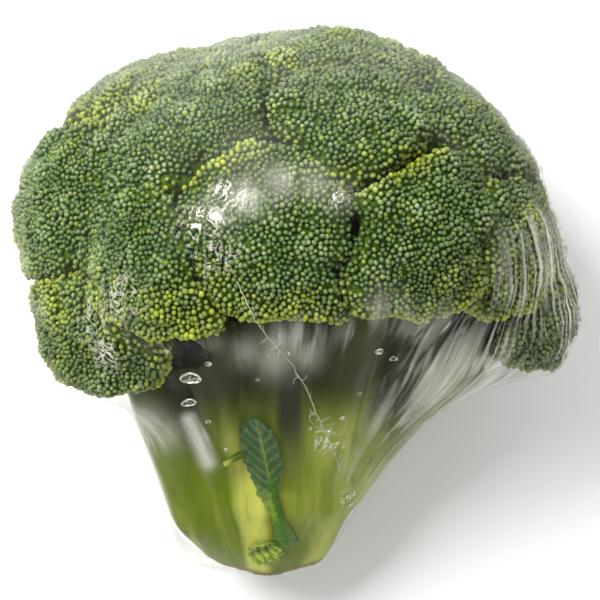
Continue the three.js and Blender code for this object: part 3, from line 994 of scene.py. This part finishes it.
def leaf_material(colours):
    """Waxy leaf, grown: blue-green with pale veins, glossy in patches."""
    made, tree, output = new_material("waxy_leaf")
    painted = add(tree, "ShaderNodeAttribute", attribute_name="leaf")
    parts = add(tree, "ShaderNodeSeparateColor", links=[("Color", painted.outputs["Color"])])
    place = add(tree, "ShaderNodeTexCoord")
    mottle = add(
        tree,
        "ShaderNodeTexNoise",
        {"Scale": 600.0, "Detail": 4.0},
        [("Vector", place.outputs["Object"])],
    )
    base = add(
        tree,
        "ShaderNodeMix",
        {6: (*colours.leaf, 1), 7: (*colours.leaf_vein, 1)},
        [(0, parts.outputs["Red"])],
        data_type="RGBA",
    )
    base = add(
        tree,
        "ShaderNodeMix",
        {7: (*colours.petiole, 1)},
        [(0, parts.outputs["Green"]), (6, base.outputs[2])],
        data_type="RGBA",
    )
    spots = add(
        tree,
        "ShaderNodeMapRange",
        {"From Min": 0.4, "From Max": 0.75, "To Max": 0.5},
        [("Value", mottle.outputs["Fac"])],
    )
    base = add(
        tree,
        "ShaderNodeMix",
        {7: (*colours.flesh_painted_shade_and_leaf_mottle, 1)},
        [(0, spots.outputs[0]), (6, base.outputs[2])],
        data_type="RGBA",
    )
    raised = add(
        tree,
        "ShaderNodeBump",
        {"Strength": 0.4, "Distance": 0.0005},
        [("Height", mottle.outputs["Fac"])],
    )
    skin = add(
        tree,
        "ShaderNodeBsdfPrincipled",
        {"Roughness": 0.42, "Specular IOR Level": 0.2, "Subsurface Weight": 0.1, "Subsurface Scale": 0.001},
        [("Base Color", base.outputs[2]), ("Normal", raised.outputs[0])],
    )
    tree.links.new(skin.outputs[0], output.inputs["Surface"])
    return made


# The broken twig end beside the long leaf: right, up and thickness along it, in mm.
TWIG = (
    (-12.0, 43.8, 1.5), (-11.4, 44.2, 1.9), (-10.5, 44.8, 1.6),
    (-9.0, 46.0, 1.7), (-7.2, 46.8, 2.0), (-5.6, 47.2, 2.4),
    (-4.6, 47.6, 2.0),
)


def add_twig(surface):
    """A broken twig end that points left from behind the long leaf."""
    line = bpy.data.curves.new("twig_end", "CURVE")
    line.dimensions = "3D"
    line.bevel_depth = 0.5 * MM
    line.bevel_resolution = 2
    line.use_fill_caps = True
    spline = line.splines.new("POLY")
    spline.points.add(len(TWIG) - 1)
    for point, (right, up, thick) in zip(spline.points, TWIG):
        top = Vector(from_plant([[right * MM, 60 * MM, up * MM]])[0])
        spot = surface.ray_cast(top, Vector(-plant_turn[1]))[0]
        point.co = (*(spot + Vector(plant_turn[1]) * 0.9 * MM), 1)
        point.radius = thick
    twig = tube_mesh(line)
    bpy.ops.object.shade_smooth()
    tip = smooth_step(-8.0, -12.0, to_plant(coords(twig))[:, 0] / MM)
    paint(twig, "flesh", np.stack([0.2 + 0.8 * tip, 0.4 * (1 - tip), np.zeros_like(tip)], axis=1))
    twig.data.materials.append(bpy.data.materials["waxy_stalk_flesh"])
    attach(twig, "root")


class BROCCOLI_OT_leaves(bpy.types.Operator):
    """Makes the two small leaves left on the stalk"""

    bl_idname = "broccoli.leaves"
    bl_label = "Leaves"

    def execute(self, context):
        material = leaf_material(context.scene.broccoli_colours)
        stalk = bpy.data.objects["stalk_and_branches"]
        surface = surface_of(stalk)
        for name, rows, columns, place_of, node in (
            ("long_leaf", 90, 22, leaf_front_place, "leaf_front"),
            ("short_leaf", 36, 16, leaf_base_place, "leaf_base"),
        ):
            leaf = leaf_piece(name, rows, columns, surface, place_of)
            apply_modifier(leaf, "SOLIDIFY", thickness=0.7 * MM, offset=0.0)
            apply_modifier(leaf, "SUBSURF", levels=1, render_levels=1)
            bpy.ops.object.shade_smooth()
            finish_piece(leaf, material, [node])
        add_twig(surface)
        return {"FINISHED"}


# Film: a skin on a capsule-shaped net of rays round the plant, pulled taut over everything inside it.

NET_MIDDLE = 4.5 * MM
NET_TOP = 104 * MM
NET_FOOT = 10 * MM
VENT_ANGLE = 0.12  # the gathered end is closed down to this angle

# Marks on the film are placed by how they line up, from an eye above the head, with a level plane inside it.
EYE_UP = 0.701
MARKS_UP = 0.065


class Net:
    """The net of rays: rows run down from the top of the crown, columns go round."""

    def __init__(self, cap, side, foot, columns):
        self.cap, self.side, self.foot, self.columns = cap, side, foot, columns
        self.rows = cap + side + foot
        row = np.arange(self.rows + 1)
        turn = np.arange(columns) / columns * 2 * math.pi
        slope = np.minimum(row, cap) / cap * math.pi / 2
        slope = slope + np.maximum(row - cap - side, 0) / foot * (math.pi / 2 - VENT_ANGLE)
        slope[0] = 0.35 * slope[1]
        level = NET_TOP + (NET_FOOT - NET_TOP) * np.clip((row - cap) / side, 0, 1)
        middle = np.full_like(level, NET_MIDDLE)
        self.origin = np.stack([middle, np.zeros_like(level), level], axis=1)[:, None, :]
        self.ways = np.stack(
            [
                np.sin(slope)[:, None] * np.cos(turn),
                np.sin(slope)[:, None] * np.sin(turn),
                np.repeat(np.cos(slope)[:, None], columns, axis=1),
            ],
            axis=-1,
        )

    def find(self, points):
        """Row, column and distance of points given in the plant's axes."""
        way = points - np.array([NET_MIDDLE, 0, 0])
        level = np.clip(points[:, 2], NET_FOOT, NET_TOP)
        way[:, 2] = points[:, 2] - level
        wide = np.hypot(way[:, 0], way[:, 1])
        column = np.arctan2(way[:, 1], way[:, 0]) / (2 * math.pi) % 1 * self.columns
        cap = np.arctan2(wide, way[:, 2]) / (math.pi / 2) * self.cap
        foot = np.arctan2(np.maximum(-way[:, 2], 0), wide) / (math.pi / 2 - VENT_ANGLE) * self.foot
        side = (NET_TOP - level) / (NET_TOP - NET_FOOT) * self.side
        row = np.where(way[:, 2] > 0, cap, self.cap + side + foot)
        return row, column, np.linalg.norm(way, axis=1)

    def hold(self, points, lift):
        """How far out each knot is held."""
        row, column, out = self.find(points)
        held = np.zeros((self.rows + 1, self.columns))
        keep = row <= self.rows
        near_row = np.rint(row[keep]).astype(int)
        near_column = np.rint(column[keep]).astype(int) % self.columns
        np.maximum.at(held, (near_row, near_column), out[keep] + lift)
        held[0] = held[:2].max()
        return held

    def most(self):
        """How far out each knot may go before it is under the floor."""
        drop = -(self.ways @ plant_turn[:, 2])
        height = (self.origin @ plant_turn[:, 2]) + plant_origin[2] - 0.1 * MM
        return np.where(drop > 1e-4, height / np.maximum(drop, 1e-4), 1.0)

    def places(self, out):
        return self.origin + self.ways * out[..., None]

    def taut(self, out, held, passes):
        """Each knot is drawn to the middle of its neighbours, and held out where something is inside it."""
        most = self.most()
        for _ in range(passes):
            places = self.places(out)
            around = (np.roll(places, 1, axis=1) + np.roll(places, -1, axis=1)) / 2
            above = np.concatenate([places[:1], places[:-1]])
            below = np.concatenate([places[1:], places[-1:]])
            mean = (around + (above + below) / 2) / 2
            mean[0] = mean[1].mean(axis=0)
            out = ((mean - self.origin) * self.ways).sum(axis=-1)
            out = np.minimum(np.maximum(out, held), most)
            out[0] = out[0].mean()
        return out


def to_up(places):
    """How far up the stalk knots in the plant's axes are, in mm."""
    return places[..., 2] / MM


def ridges(values):
    """Sharp-topped waves from 0 to 1, one a unit."""
    return 1 - np.abs(2 * (values % 1) - 1)


def film_sheet(sizes):
    """The film's knots and how slack each is."""
    others = ("stalk_and_branches", "long_leaf", "short_leaf")
    inside = [o for o in bpy.data.objects if o.name.startswith("buds_") or o.name in others]
    points = to_plant(np.concatenate([coords(o) for o in inside]))
    coarse = Net(15, 20, 8, 52)
    wide = np.full((coarse.rows + 1, coarse.columns), 0.095)
    out = coarse.taut(wide, coarse.hold(points, sizes.film_lift), 500)
    fine = Net(60, 80, 32, 208)
    out = np.repeat(out, 4, axis=1)
    rows = np.arange(fine.rows + 1) / 4
    low = np.minimum(rows.astype(int), coarse.rows - 1)
    out = out[low] + (out[low + 1] - out[low]) * (rows - low)[:, None]
    held = fine.hold(points, sizes.film_lift)
    out = fine.taut(out, held, 420)
    slack = out - held
    for _ in range(3):
        slack = np.minimum(slack, (np.roll(slack, 1, axis=1) + np.roll(slack, -1, axis=1)) / 2 + 0.3 * MM)
    return fine, out, slack


# Where the film is marked, seen from above: place and radius in mm, and strength. The marks are partly the
# film's own milkiness and partly painted reflections and highlights of the lamps.
VEILS_AND_PAINTED_REFLECTIONS = (
    (38, -22, 11, 0.7), (49, -17, 9, 0.85), (29, -33, 8, 0.55), (20, -46, 6, 0.4), (15, -7, 4, 0.4),
    (1, -8, 4, 0.7), (-6, -8, 3, 0.5), (70, 8, 12, 0.08),
    (62, 16, 7, 0.35), (-28, -37, 3, 0.6), (-44, -36, 5, 0.6),
    (24, -1, 5, 0.5), (58, -22, 7, 0.7), (-25, -10, 2.5, 0.3), (34, -6, 5, 0.5), (44, -4, 5, 0.4),
)
# Painted highlights where the film is crumpled.
PAINTED_CRUMPLE_HIGHLIGHTS = (
    (-58, -3, 5, 0.5), (-50, 4, 5, 0.6), (-27, 24, 4), (-24, 15, 4), (11, 32, 2.5), (14, -54, 2),
    (8, -37, 3), (-20, 33, 3), (-54, -12, 4),
)
# Streaks of stretched film, white partly as painted reflection.
STREAKS_AND_PAINTED_SHEEN = (
    (70, 12, 8, 1.0), (68, 20, 6, 1.0), (75, 0, 7, 0.9), (62, 6, 6, 0.7), (66, -2, 6, 0.4), (57, -10, 6, 0.6),
    (77, -12, 5, 0.6), (50, -14, 6, 0.5),
)
# Haze, partly painted reflection of the lamps.
HAZE_AND_PAINTED_GLEAMS = (
    (-24, 28, 5, 0.4), (-16, 34, 5, 0.6), (-6, 37, 5, 0.7),
    (4, 36, 4.5, 0.6), (11, 32, 4, 0.4), (-30, 60, 18, 0.15),
    (42, -26, 12, 0.25), (30, -40, 9, 0.2), (1, -10, 4, 0.4), (-15, 44, 11, 0.25), (8, 72, 18, 0.12),
    # A painted reflection: one bright gleam down the left of the stalk.
    *((-31.5 + 5.5 * step, -31.5 - 12 * step, 1.8, 2.3) for step in np.linspace(0, 1, 10)),
    (-45, -34, 5, 1.1), (-38, -36, 4, 0.7), (-15, -12, 4, 0.8), (-7, -14, 4.5, 1.1), (2, -13, 4, 0.9),
)


def film_marks(places, loose):
    """How veiled, crumpled, hazy and streaked the film is; the listed marks are partly painted reflections
    and highlights. loose covers the sides that face away.
    """
    flat = places[:, :2] * ((EYE_UP - MARKS_UP) / (EYE_UP - places[:, 2:])) / MM
    front = smooth_step(20, 38, places[:, 2] / MM)

    def spots(table):
        total = np.zeros(len(places))
        for x, y, wide, *strength in table:
            far = np.hypot(flat[:, 0] - x, flat[:, 1] - y) / wide
            total = np.maximum(total, np.exp(-(far**2) * 0.9) * (strength[0] if strength else 1.0))
        return total * front

    cut_end = smooth_step(-64, -72, places[:, 1] / MM)
    veil = np.maximum(spots(VEILS_AND_PAINTED_REFLECTIONS), loose * (0.5 - 0.49 * front) * (1 - 0.8 * cut_end))
    return np.stack([veil, spots(PAINTED_CRUMPLE_HIGHLIGHTS), spots(HAZE_AND_PAINTED_GLEAMS), spots(STREAKS_AND_PAINTED_SHEEN)], axis=1)


class BROCCOLI_OT_film(bpy.types.Operator):
    """Makes the shrink film: pulled taut over the heads, folded where it narrows to the stalk"""

    bl_idname = "broccoli.film"
    bl_label = "Shrink film"

    def execute(self, context):
        sizes = context.scene.broccoli_sizes
        net, out, slack = film_sheet(sizes)
        places = net.places(out)
        rows, columns = out.shape
        turn = np.arange(columns)[None, :] / columns
        down = np.arange(rows)[:, None] / (rows - 1)
        # Folds run down the film, closer together where it is narrow.
        drift = 0.35 * np.sin(down * 9 + turn * 25) + 0.2 * np.sin(down * 23 - turn * 61)
        folds = 0.6 * ridges(turn * 46 + drift) ** 2 + 0.4 * ridges(turn * 87 + 1.7 * drift) ** 2
        loose = smooth_step(0.8 * MM, 6 * MM, slack) * smooth_step(0.3, 0.42, down)
        gathered = smooth_step(0.83, 0.9, down)
        height = sizes.fold_height * (folds - 0.45) * np.maximum(loose, 0.35 * gathered)
        # A loose ear of film stands off the lower left corner of the stalk.
        around = turn * 2 * math.pi - 2.75
        ear = np.exp(-((around / 0.4) ** 2)) * np.exp(-(((to_up(places) - 5) / 7) ** 2))
        out = np.minimum(out + height + 4.5 * MM * ear, net.most())
        places = from_plant(net.places(out).reshape(-1, 3))
        places[:, 2] = np.maximum(places[:, 2], 0.1 * MM)
        index = np.arange(rows * columns).reshape(rows, columns)
        a, b = index[:-1], np.roll(index, -1, axis=1)[:-1]
        c, d = np.roll(index, -1, axis=1)[1:], index[1:]
        quads = np.stack([a, d, c, b], axis=-1).reshape(-1, 4)
        corners = np.concatenate([quads.ravel(), index[0]])
        totals = np.concatenate([np.full(len(quads), 4), [columns]])
        film = mesh_from("shrink_film", places, corners, totals)
        loose = (smooth_step(1.5 * MM, 6 * MM, slack) * smooth_step(0.33, 0.42, down)).ravel()
        marks = film_marks(places, loose)
        marks[:, 0] = np.maximum(marks[:, 0], 0.5 * ear.ravel())
        marks[:, 2] = np.maximum(marks[:, 2], 0.7 * ear.ravel())
        paint(film, "film", marks)
        layer = film.data.uv_layers.new(name="along")
        loops, _ = polygons(film)
        u = (loops % columns) / columns
        v = (loops // columns) / (rows - 1)
        wrap = np.repeat(np.arange(len(quads)) % columns == columns - 1, 4)
        u[: len(wrap)][wrap & (u[: len(wrap)] < 0.5)] += 1
        layer.data.foreach_set("uv", np.stack([u, v], axis=1).ravel())
        apply_modifier(film, "SOLIDIFY", thickness=sizes.film_thickness, offset=-1.0, use_even_offset=False)
        bpy.ops.object.shade_smooth()
        finish_piece(film, film_material(), ["film_wrap"])
        return {"FINISHED"}


def film_material():
    """Polyolefin shrink film, blown and shrunk: clear face on, milky where it is stretched or folded; its
    white marks are partly painted reflections and highlights, drawn as cover.
    """
    made, tree, output = new_material("clear_shrink_film")
    painted = add(tree, "ShaderNodeAttribute", attribute_name="film")
    parts = add(tree, "ShaderNodeSeparateColor", links=[("Color", painted.outputs["Color"])])
    along = add(tree, "ShaderNodeUVMap", uv_map="along")
    place = add(tree, "ShaderNodeTexCoord")
    # Creases: 1 to 3 mm wide and some 40 mm long, running down the film. Smears are four times as wide.
    fine = add(tree, "ShaderNodeMapping", {"Scale": (210.0, 8.0, 1.0)}, [("Vector", along.outputs[0])])
    creases = add(
        tree,
        "ShaderNodeTexNoise",
        {"Scale": 1.0, "Detail": 3.0, "Distortion": 0.5},
        [("Vector", fine.outputs[0])],
    )
    wide = add(tree, "ShaderNodeMapping", {"Scale": (58.0, 5.5, 1.0)}, [("Vector", along.outputs[0])])
    smears = add(
        tree,
        "ShaderNodeTexNoise",
        {"Scale": 1.0, "Detail": 4.0, "Distortion": 0.8},
        [("Vector", wide.outputs[0])],
    )
    # Crumples: painted highlights, as bright curling lines a few millimetres apart.
    curl = add(
        tree,
        "ShaderNodeTexNoise",
        {"Scale": 260.0, "Detail": 1.5, "Distortion": 1.6},
        [("Vector", place.outputs["Object"])],
    )
    off = add(tree, "ShaderNodeMath", {1: 0.5}, [(0, curl.outputs["Fac"])], operation="SUBTRACT")
    off = add(tree, "ShaderNodeMath", links=[(0, off.outputs[0])], operation="ABSOLUTE")
    lines = add(
        tree,
        "ShaderNodeMapRange",
        {"From Min": 0.01, "From Max": 0.06, "To Min": 1.0, "To Max": 0.0},
        [("Value", off.outputs[0])],
    )
    broken = add(
        tree,
        "ShaderNodeMapRange",
        {"From Min": 0.4, "From Max": 0.55, "To Max": 1.0},
        [("Value", creases.outputs["Fac"])],
    )
    lines = add(
        tree,
        "ShaderNodeMath",
        links=[(0, lines.outputs[0]), (1, broken.outputs[0])],
        operation="MULTIPLY",
    )
    lines = add(
        tree,
        "ShaderNodeMath",
        links=[(0, lines.outputs[0]), (1, parts.outputs["Green"])],
        operation="MULTIPLY",
    )
    edge = add(tree, "ShaderNodeLayerWeight", {"Blend": 0.35})
    rim = add(tree, "ShaderNodeMath", {1: 3.6}, [(0, edge.outputs["Facing"])], operation="POWER")
    # The film clings to the foot of the stalk, so that its edge hardly shows there.
    down = add(tree, "ShaderNodeSeparateXYZ", links=[("Vector", along.outputs[0])])
    cling = add(
        tree,
        "ShaderNodeMapRange",
        {"From Min": 0.78, "From Max": 0.87, "To Min": 0.3, "To Max": 0.06},
        [("Value", down.outputs["Y"])],
    )
    rim = add(
        tree,
        "ShaderNodeMath",
        links=[(0, rim.outputs[0]), (1, cling.outputs[0])],
        operation="MULTIPLY",
    )
    crease = add(
        tree,
        "ShaderNodeMapRange",
        {"From Min": 0.53, "From Max": 0.68, "To Max": 0.35},
        [("Value", creases.outputs["Fac"])],
    )
    smear = add(
        tree,
        "ShaderNodeMapRange",
        {"From Min": 0.48, "From Max": 0.6, "To Min": 0.0, "To Max": 0.38},
        [("Value", smears.outputs["Fac"])],
    )
    marks = add(
        tree,
        "ShaderNodeMath",
        links=[(0, crease.outputs[0]), (1, smear.outputs[0])],
        operation="ADD",
    )
    marks = add(
        tree,
        "ShaderNodeMath",
        links=[(0, marks.outputs[0]), (1, parts.outputs["Red"])],
        operation="MULTIPLY",
    )
    # Pulled threads: half a millimetre wide, side by side, white partly as painted reflection.
    thin = add(tree, "ShaderNodeMapping", {"Scale": (430.0, 5.0, 1.0)}, [("Vector", along.outputs[0])])
    threads = add(
        tree,
        "ShaderNodeTexNoise",
        {"Scale": 1.0, "Detail": 2.0, "Distortion": 0.3},
        [("Vector", thin.outputs[0])],
    )
    streak = add(
        tree,
        "ShaderNodeMapRange",
        {"From Min": 0.5, "From Max": 0.6, "To Max": 0.55},
        [("Value", threads.outputs["Fac"])],
    )
    marks = add(
        tree,
        "ShaderNodeMath",
        links=[(0, streak.outputs[0]), (1, painted.outputs["Alpha"]), (2, marks.outputs[0])],
        operation="MULTIPLY_ADD",
    )
    cloud = add(
        tree,
        "ShaderNodeMath",
        {1: 0.16, 2: 0.002},
        [(0, parts.outputs["Blue"])],
        operation="MULTIPLY_ADD",
    )
    cover = add(tree, "ShaderNodeMath", links=[(0, marks.outputs[0]), (1, cloud.outputs[0])], operation="ADD")
    cover = add(tree, "ShaderNodeMath", links=[(0, cover.outputs[0]), (1, lines.outputs[0])], operation="ADD")
    cover = add(
        tree,
        "ShaderNodeMath",
        links=[(0, cover.outputs[0]), (1, rim.outputs[0])],
        operation="ADD",
        use_clamp=True,
    )
    raised = add(
        tree,
        "ShaderNodeBump",
        {"Strength": 0.45, "Distance": 0.0009},
        [("Height", creases.outputs["Fac"])],
    )
    skin = add(
        tree,
        "ShaderNodeBsdfPrincipled",
        {"Base Color": (*linear("e3e3d3"), 1), "Metallic": 0.4, "Roughness": 0.2, "IOR": 1.5},
        [("Alpha", cover.outputs[0]), ("Normal", raised.outputs[0])],
    )
    tree.links.new(skin.outputs[0], output.inputs["Surface"])
    return made


# Weld seam: the line where the film's two edges were melted together, with frayed threads beside it.

SEAM = (
    (-18, 8), (-15, 2), (-12.5, -3.5), (-9, -8), (-5.5, -12), (-2, -16),
    (1, -21), (4.5, -29), (7.5, -36), (10, -42), (11.5, -46),
)


class BROCCOLI_OT_seam(bpy.types.Operator):
    """Makes the weld seam that crosses the film"""

    bl_idname = "broccoli.seam"
    bl_label = "Weld seam"

    def execute(self, context):
        film = bpy.data.objects["shrink_film"]
        surface = surface_of(film)
        rng = np.random.default_rng(SEED + 5)

        def on_film(x, y):
            spot = Vector((x * MM, y * MM, MARKS_UP))
            eye = Vector((0, 0, EYE_UP))
            hit = surface.ray_cast(eye, (spot - eye).normalized())[0]
            return hit if hit else spot

        line = bpy.data.curves.new("weld_seam", "CURVE")
        line.dimensions = "3D"
        line.bevel_depth = 0.11 * MM
        line.bevel_resolution = 1
        line.use_fill_caps = True
        steps = np.linspace(0, len(SEAM) - 1, 90)
        knots = np.array(SEAM)
        main = np.stack([np.interp(steps, range(len(SEAM)), knots[:, i]) for i in (0, 1)], axis=1)
        main += 0.12 * rng.normal(0, 1, main.shape)
        threads = [main]
        for _ in range(26):
            start = main[int(rng.beta(3.5, 1.6) * 88)]
            turn = rng.uniform(0, 2 * math.pi)
            bend = rng.normal(0, 1.1)
            run = np.linspace(0, rng.uniform(0.8, 3.2), 7)[:, None]
            curl = turn + bend * run / 2
            threads.append(start + run * np.concatenate([np.cos(curl), np.sin(curl)], axis=1))
        for thread in threads:
            spline = line.splines.new("POLY")
            spline.points.add(len(thread) - 1)
            for point, (x, y) in zip(spline.points, thread):
                point.co = (*on_film(x, y), 1)
                point.radius = 1.0 if thread is main else 0.7
        seam = tube_mesh(line)
        made, tree, output = new_material("melted_film_edge")
        place = add(tree, "ShaderNodeTexCoord")
        beads = add(tree, "ShaderNodeTexNoise", {"Scale": 900.0}, [("Vector", place.outputs["Object"])])
        shade = add(
            tree,
            "ShaderNodeMix",
            {6: (*linear("8f9174"), 1), 7: (*linear("ecebdc"), 1)},
            [(0, beads.outputs["Fac"])],
            data_type="RGBA",
        )
        skin = add(
            tree,
            "ShaderNodeBsdfPrincipled",
            {"Roughness": 0.25, "IOR": 1.5, "Alpha": 0.8},
            [("Base Color", shade.outputs[2])],
        )
        tree.links.new(skin.outputs[0], output.inputs["Surface"])
        seam.data.materials.append(made)
        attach(seam, "root")
        return {"FINISHED"}


# Drops of water on the film: x and y in mm, as the eye lines them up, and width in mm.

DROPS = (
    (-31, -19.5, 3.1), (-31.5, -26.5, 2.2), (-26, -15.5, 1.2),
    (-3.5, -12.5, 0.9), (-9, -13, 0.7), (22.5, -12, 1.4),
    (26.5, -14, 1.2), (14, -53.5, 1.3), (8.5, -35, 1.1), (12, -31, 0.9), (-26, -32, 1.0), (-21, -40, 0.8),
    (11, 32, 1.7), (-38, -12, 1.1), (17, -24, 0.8), (33, -30, 0.7), (3, -34, 0.7), (-12, -20, 0.7),
)


class BROCCOLI_OT_drops(bpy.types.Operator):
    """Makes the drops of water that cling to the film"""

    bl_idname = "broccoli.drops"
    bl_label = "Drops"

    def execute(self, context):
        film = bpy.data.objects["shrink_film"]
        surface = surface_of(film)
        deselect()
        bpy.ops.mesh.primitive_uv_sphere_add(segments=24, ring_count=14, radius=1, location=(0, 0, 0))
        drop = context.object
        shape = coords(drop)
        shape_corners, shape_totals = polygons(drop)
        bpy.data.objects.remove(drop)
        eye = Vector((0, 0, EYE_UP))
        all_points = []
        for x, y, wide in DROPS:
            spot, normal = surface.ray_cast(eye, (Vector((x * MM, y * MM, MARKS_UP)) - eye).normalized())[:2]
            up = np.array(normal)
            side = unit(np.cross(up, [0.2, 0.9, 0.1]))
            across = np.cross(up, side)
            # Uneven outline, flat dome.
            turn = np.arctan2(shape[:, 1], shape[:, 0])
            uneven = 1 + 0.12 * np.sin(2 * turn + x) + 0.08 * np.sin(3 * turn + y)
            flat = np.where(shape[:, 2] > 0, 0.34, 0.12)
            points = (shape[:, :1] * side + shape[:, 1:2] * across) * (wide * uneven)[:, None]
            points = points + (shape[:, 2] * flat * wide)[:, None] * up
            all_points.append(np.array(spot) - up * 0.02 * MM + points * MM / 1.15)
        offset = np.arange(len(DROPS))[:, None] * len(shape)
        piece = mesh_from(
            "water_drops",
            np.concatenate(all_points),
            (shape_corners[None, :] + offset).ravel(),
            np.tile(shape_totals, len(DROPS)),
        )
        made, tree, output = new_material("clear_water")
        edge = add(tree, "ShaderNodeAttribute", attribute_name="drop")
        # Painted highlights: a bright rim and glints drawn on the clear drop.
        ring = add(
            tree,
            "ShaderNodeMapRange",
            {"From Min": 0.8, "From Max": 0.95, "To Min": 0.02, "To Max": 0.75},
            [("Value", edge.outputs["Fac"])],
        )
        place = add(tree, "ShaderNodeTexCoord")
        ripple = add(
            tree,
            "ShaderNodeTexNoise",
            {"Scale": 900.0, "Detail": 1.0},
            [("Vector", place.outputs["Object"])],
        )
        glint = add(
            tree,
            "ShaderNodeMapRange",
            {"From Min": 0.56, "From Max": 0.64, "To Max": 0.6},
            [("Value", ripple.outputs["Fac"])],
        )
        ring = add(
            tree,
            "ShaderNodeMath",
            links=[(0, ring.outputs[0]), (1, glint.outputs[0])],
            operation="ADD",
            use_clamp=True,
        )
        raised = add(
            tree,
            "ShaderNodeBump",
            {"Strength": 0.5, "Distance": 0.0005},
            [("Height", ripple.outputs["Fac"])],
        )
        skin = add(
            tree,
            "ShaderNodeBsdfPrincipled",
            {"Base Color": (*linear("dfe2cf"), 1), "Metallic": 0.6, "Roughness": 0.06},
            [("Alpha", ring.outputs[0]), ("Normal", raised.outputs[0])],
        )
        tree.links.new(skin.outputs[0], output.inputs["Surface"])
        from_centre = np.tile(np.hypot(shape[:, 0], shape[:, 1]), len(DROPS))
        paint(piece, "drop", np.repeat(from_centre[:, None], 3, axis=1))
        piece.data.materials.append(made)
        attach(piece, "root")
        return {"FINISHED"}


# Stage.


class BROCCOLI_OT_stage(bpy.types.Operator):
    """Makes the floor, the soft lights and the camera over the head"""

    bl_idname = "broccoli.stage"
    bl_label = "Stage"

    def execute(self, context):
        deselect()
        bpy.ops.mesh.primitive_plane_add(size=6, location=(0, 0, 0))
        floor = context.object
        floor.name = "floor"
        made, tree, output = new_material("matt_white_board")
        place = add(tree, "ShaderNodeTexCoord")
        grain = add(tree, "ShaderNodeTexNoise", {"Scale": 900.0}, [("Vector", place.outputs["Object"])])
        tooth = add(
            tree,
            "ShaderNodeBump",
            {"Strength": 0.02, "Distance": 0.0002},
            [("Height", grain.outputs["Fac"])],
        )
        board = add(
            tree,
            "ShaderNodeBsdfPrincipled",
            {"Base Color": (0.86, 0.86, 0.86, 1), "Roughness": 0.8},
            [("Normal", tooth.outputs[0])],
        )
        tree.links.new(board.outputs[0], output.inputs["Surface"])
        floor.data.materials.append(made)

        world = bpy.data.worlds.new("studio")
        world.use_nodes = True
        world.node_tree.nodes["Background"].inputs["Color"].default_value = (1, 1, 1, 1)
        world.node_tree.nodes["Background"].inputs["Strength"].default_value = 0.42
        context.scene.world = world
        for name, place, aim, size, power in (
            ("softbox_left", (-0.5, 0.45, 0.88), (0, 0, 0.05), 0.5, 17.5),
            ("softbox_top", (0.05, 0.9, 0.7), (0, 0, 0.05), 0.7, 3.5),
            ("softbox_right", (0.45, -0.55, 1.0), (0, 0, 0.05), 0.6, 4),
        ):
            lamp = bpy.data.lights.new(name, "AREA")
            lamp.size = size
            lamp.energy = power
            holder = bpy.data.objects.new(name, lamp)
            holder.location = place
            holder.rotation_mode = "QUATERNION"
            holder.rotation_quaternion = (Vector(aim) - Vector(place)).to_track_quat("-Z", "Y")
            context.scene.collection.objects.link(holder)

        lens = bpy.data.cameras.new("camera")
        lens.lens = 135
        lens.sensor_width = 36
        lens.clip_end = 20
        camera = bpy.data.objects.new("camera", lens)
        camera.location = (0, 0.0025, 0.703)
        context.scene.collection.objects.link(camera)
        context.scene.camera = camera
        context.scene.view_settings.view_transform = "Standard"
        return {"FINISHED"}


# The add-on.

STEPS = (
    BROCCOLI_OT_stalk,
    BROCCOLI_OT_heads,
    BROCCOLI_OT_leaves,
    BROCCOLI_OT_film,
    BROCCOLI_OT_seam,
    BROCCOLI_OT_drops,
    BROCCOLI_OT_stage,
)


class BROCCOLI_PT_panel(bpy.types.Panel):
    """Lists the pieces and their sizes"""

    bl_idname = "BROCCOLI_PT_panel"
    bl_label = "Broccoli"
    bl_space_type = "VIEW_3D"
    bl_region_type = "UI"
    bl_category = "Broccoli"

    def draw(self, context):
        for group in (context.scene.broccoli_sizes, context.scene.broccoli_colours):
            for name in group.bl_rna.properties.keys():
                if name not in ("rna_type", "name"):
                    self.layout.prop(group, name)
        for step in STEPS:
            self.layout.operator(step.bl_idname)


CLASSES = (BroccoliSizes, BroccoliColours, *STEPS, BROCCOLI_PT_panel)


def register():
    for made in CLASSES:
        bpy.utils.register_class(made)
    bpy.types.Scene.broccoli_sizes = bpy.props.PointerProperty(type=BroccoliSizes)
    bpy.types.Scene.broccoli_colours = bpy.props.PointerProperty(type=BroccoliColours)


def unregister():
    del bpy.types.Scene.broccoli_colours
    del bpy.types.Scene.broccoli_sizes
    for made in reversed(CLASSES):
        bpy.utils.unregister_class(made)


def main():
    register()
    bpy.ops.broccoli.stalk()
    bpy.ops.broccoli.heads()
    bpy.ops.broccoli.leaves()
    bpy.ops.broccoli.film()
    bpy.ops.broccoli.seam()
    bpy.ops.broccoli.drops()
    bpy.ops.broccoli.stage()
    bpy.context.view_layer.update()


if __name__ == "__main__":
    main()
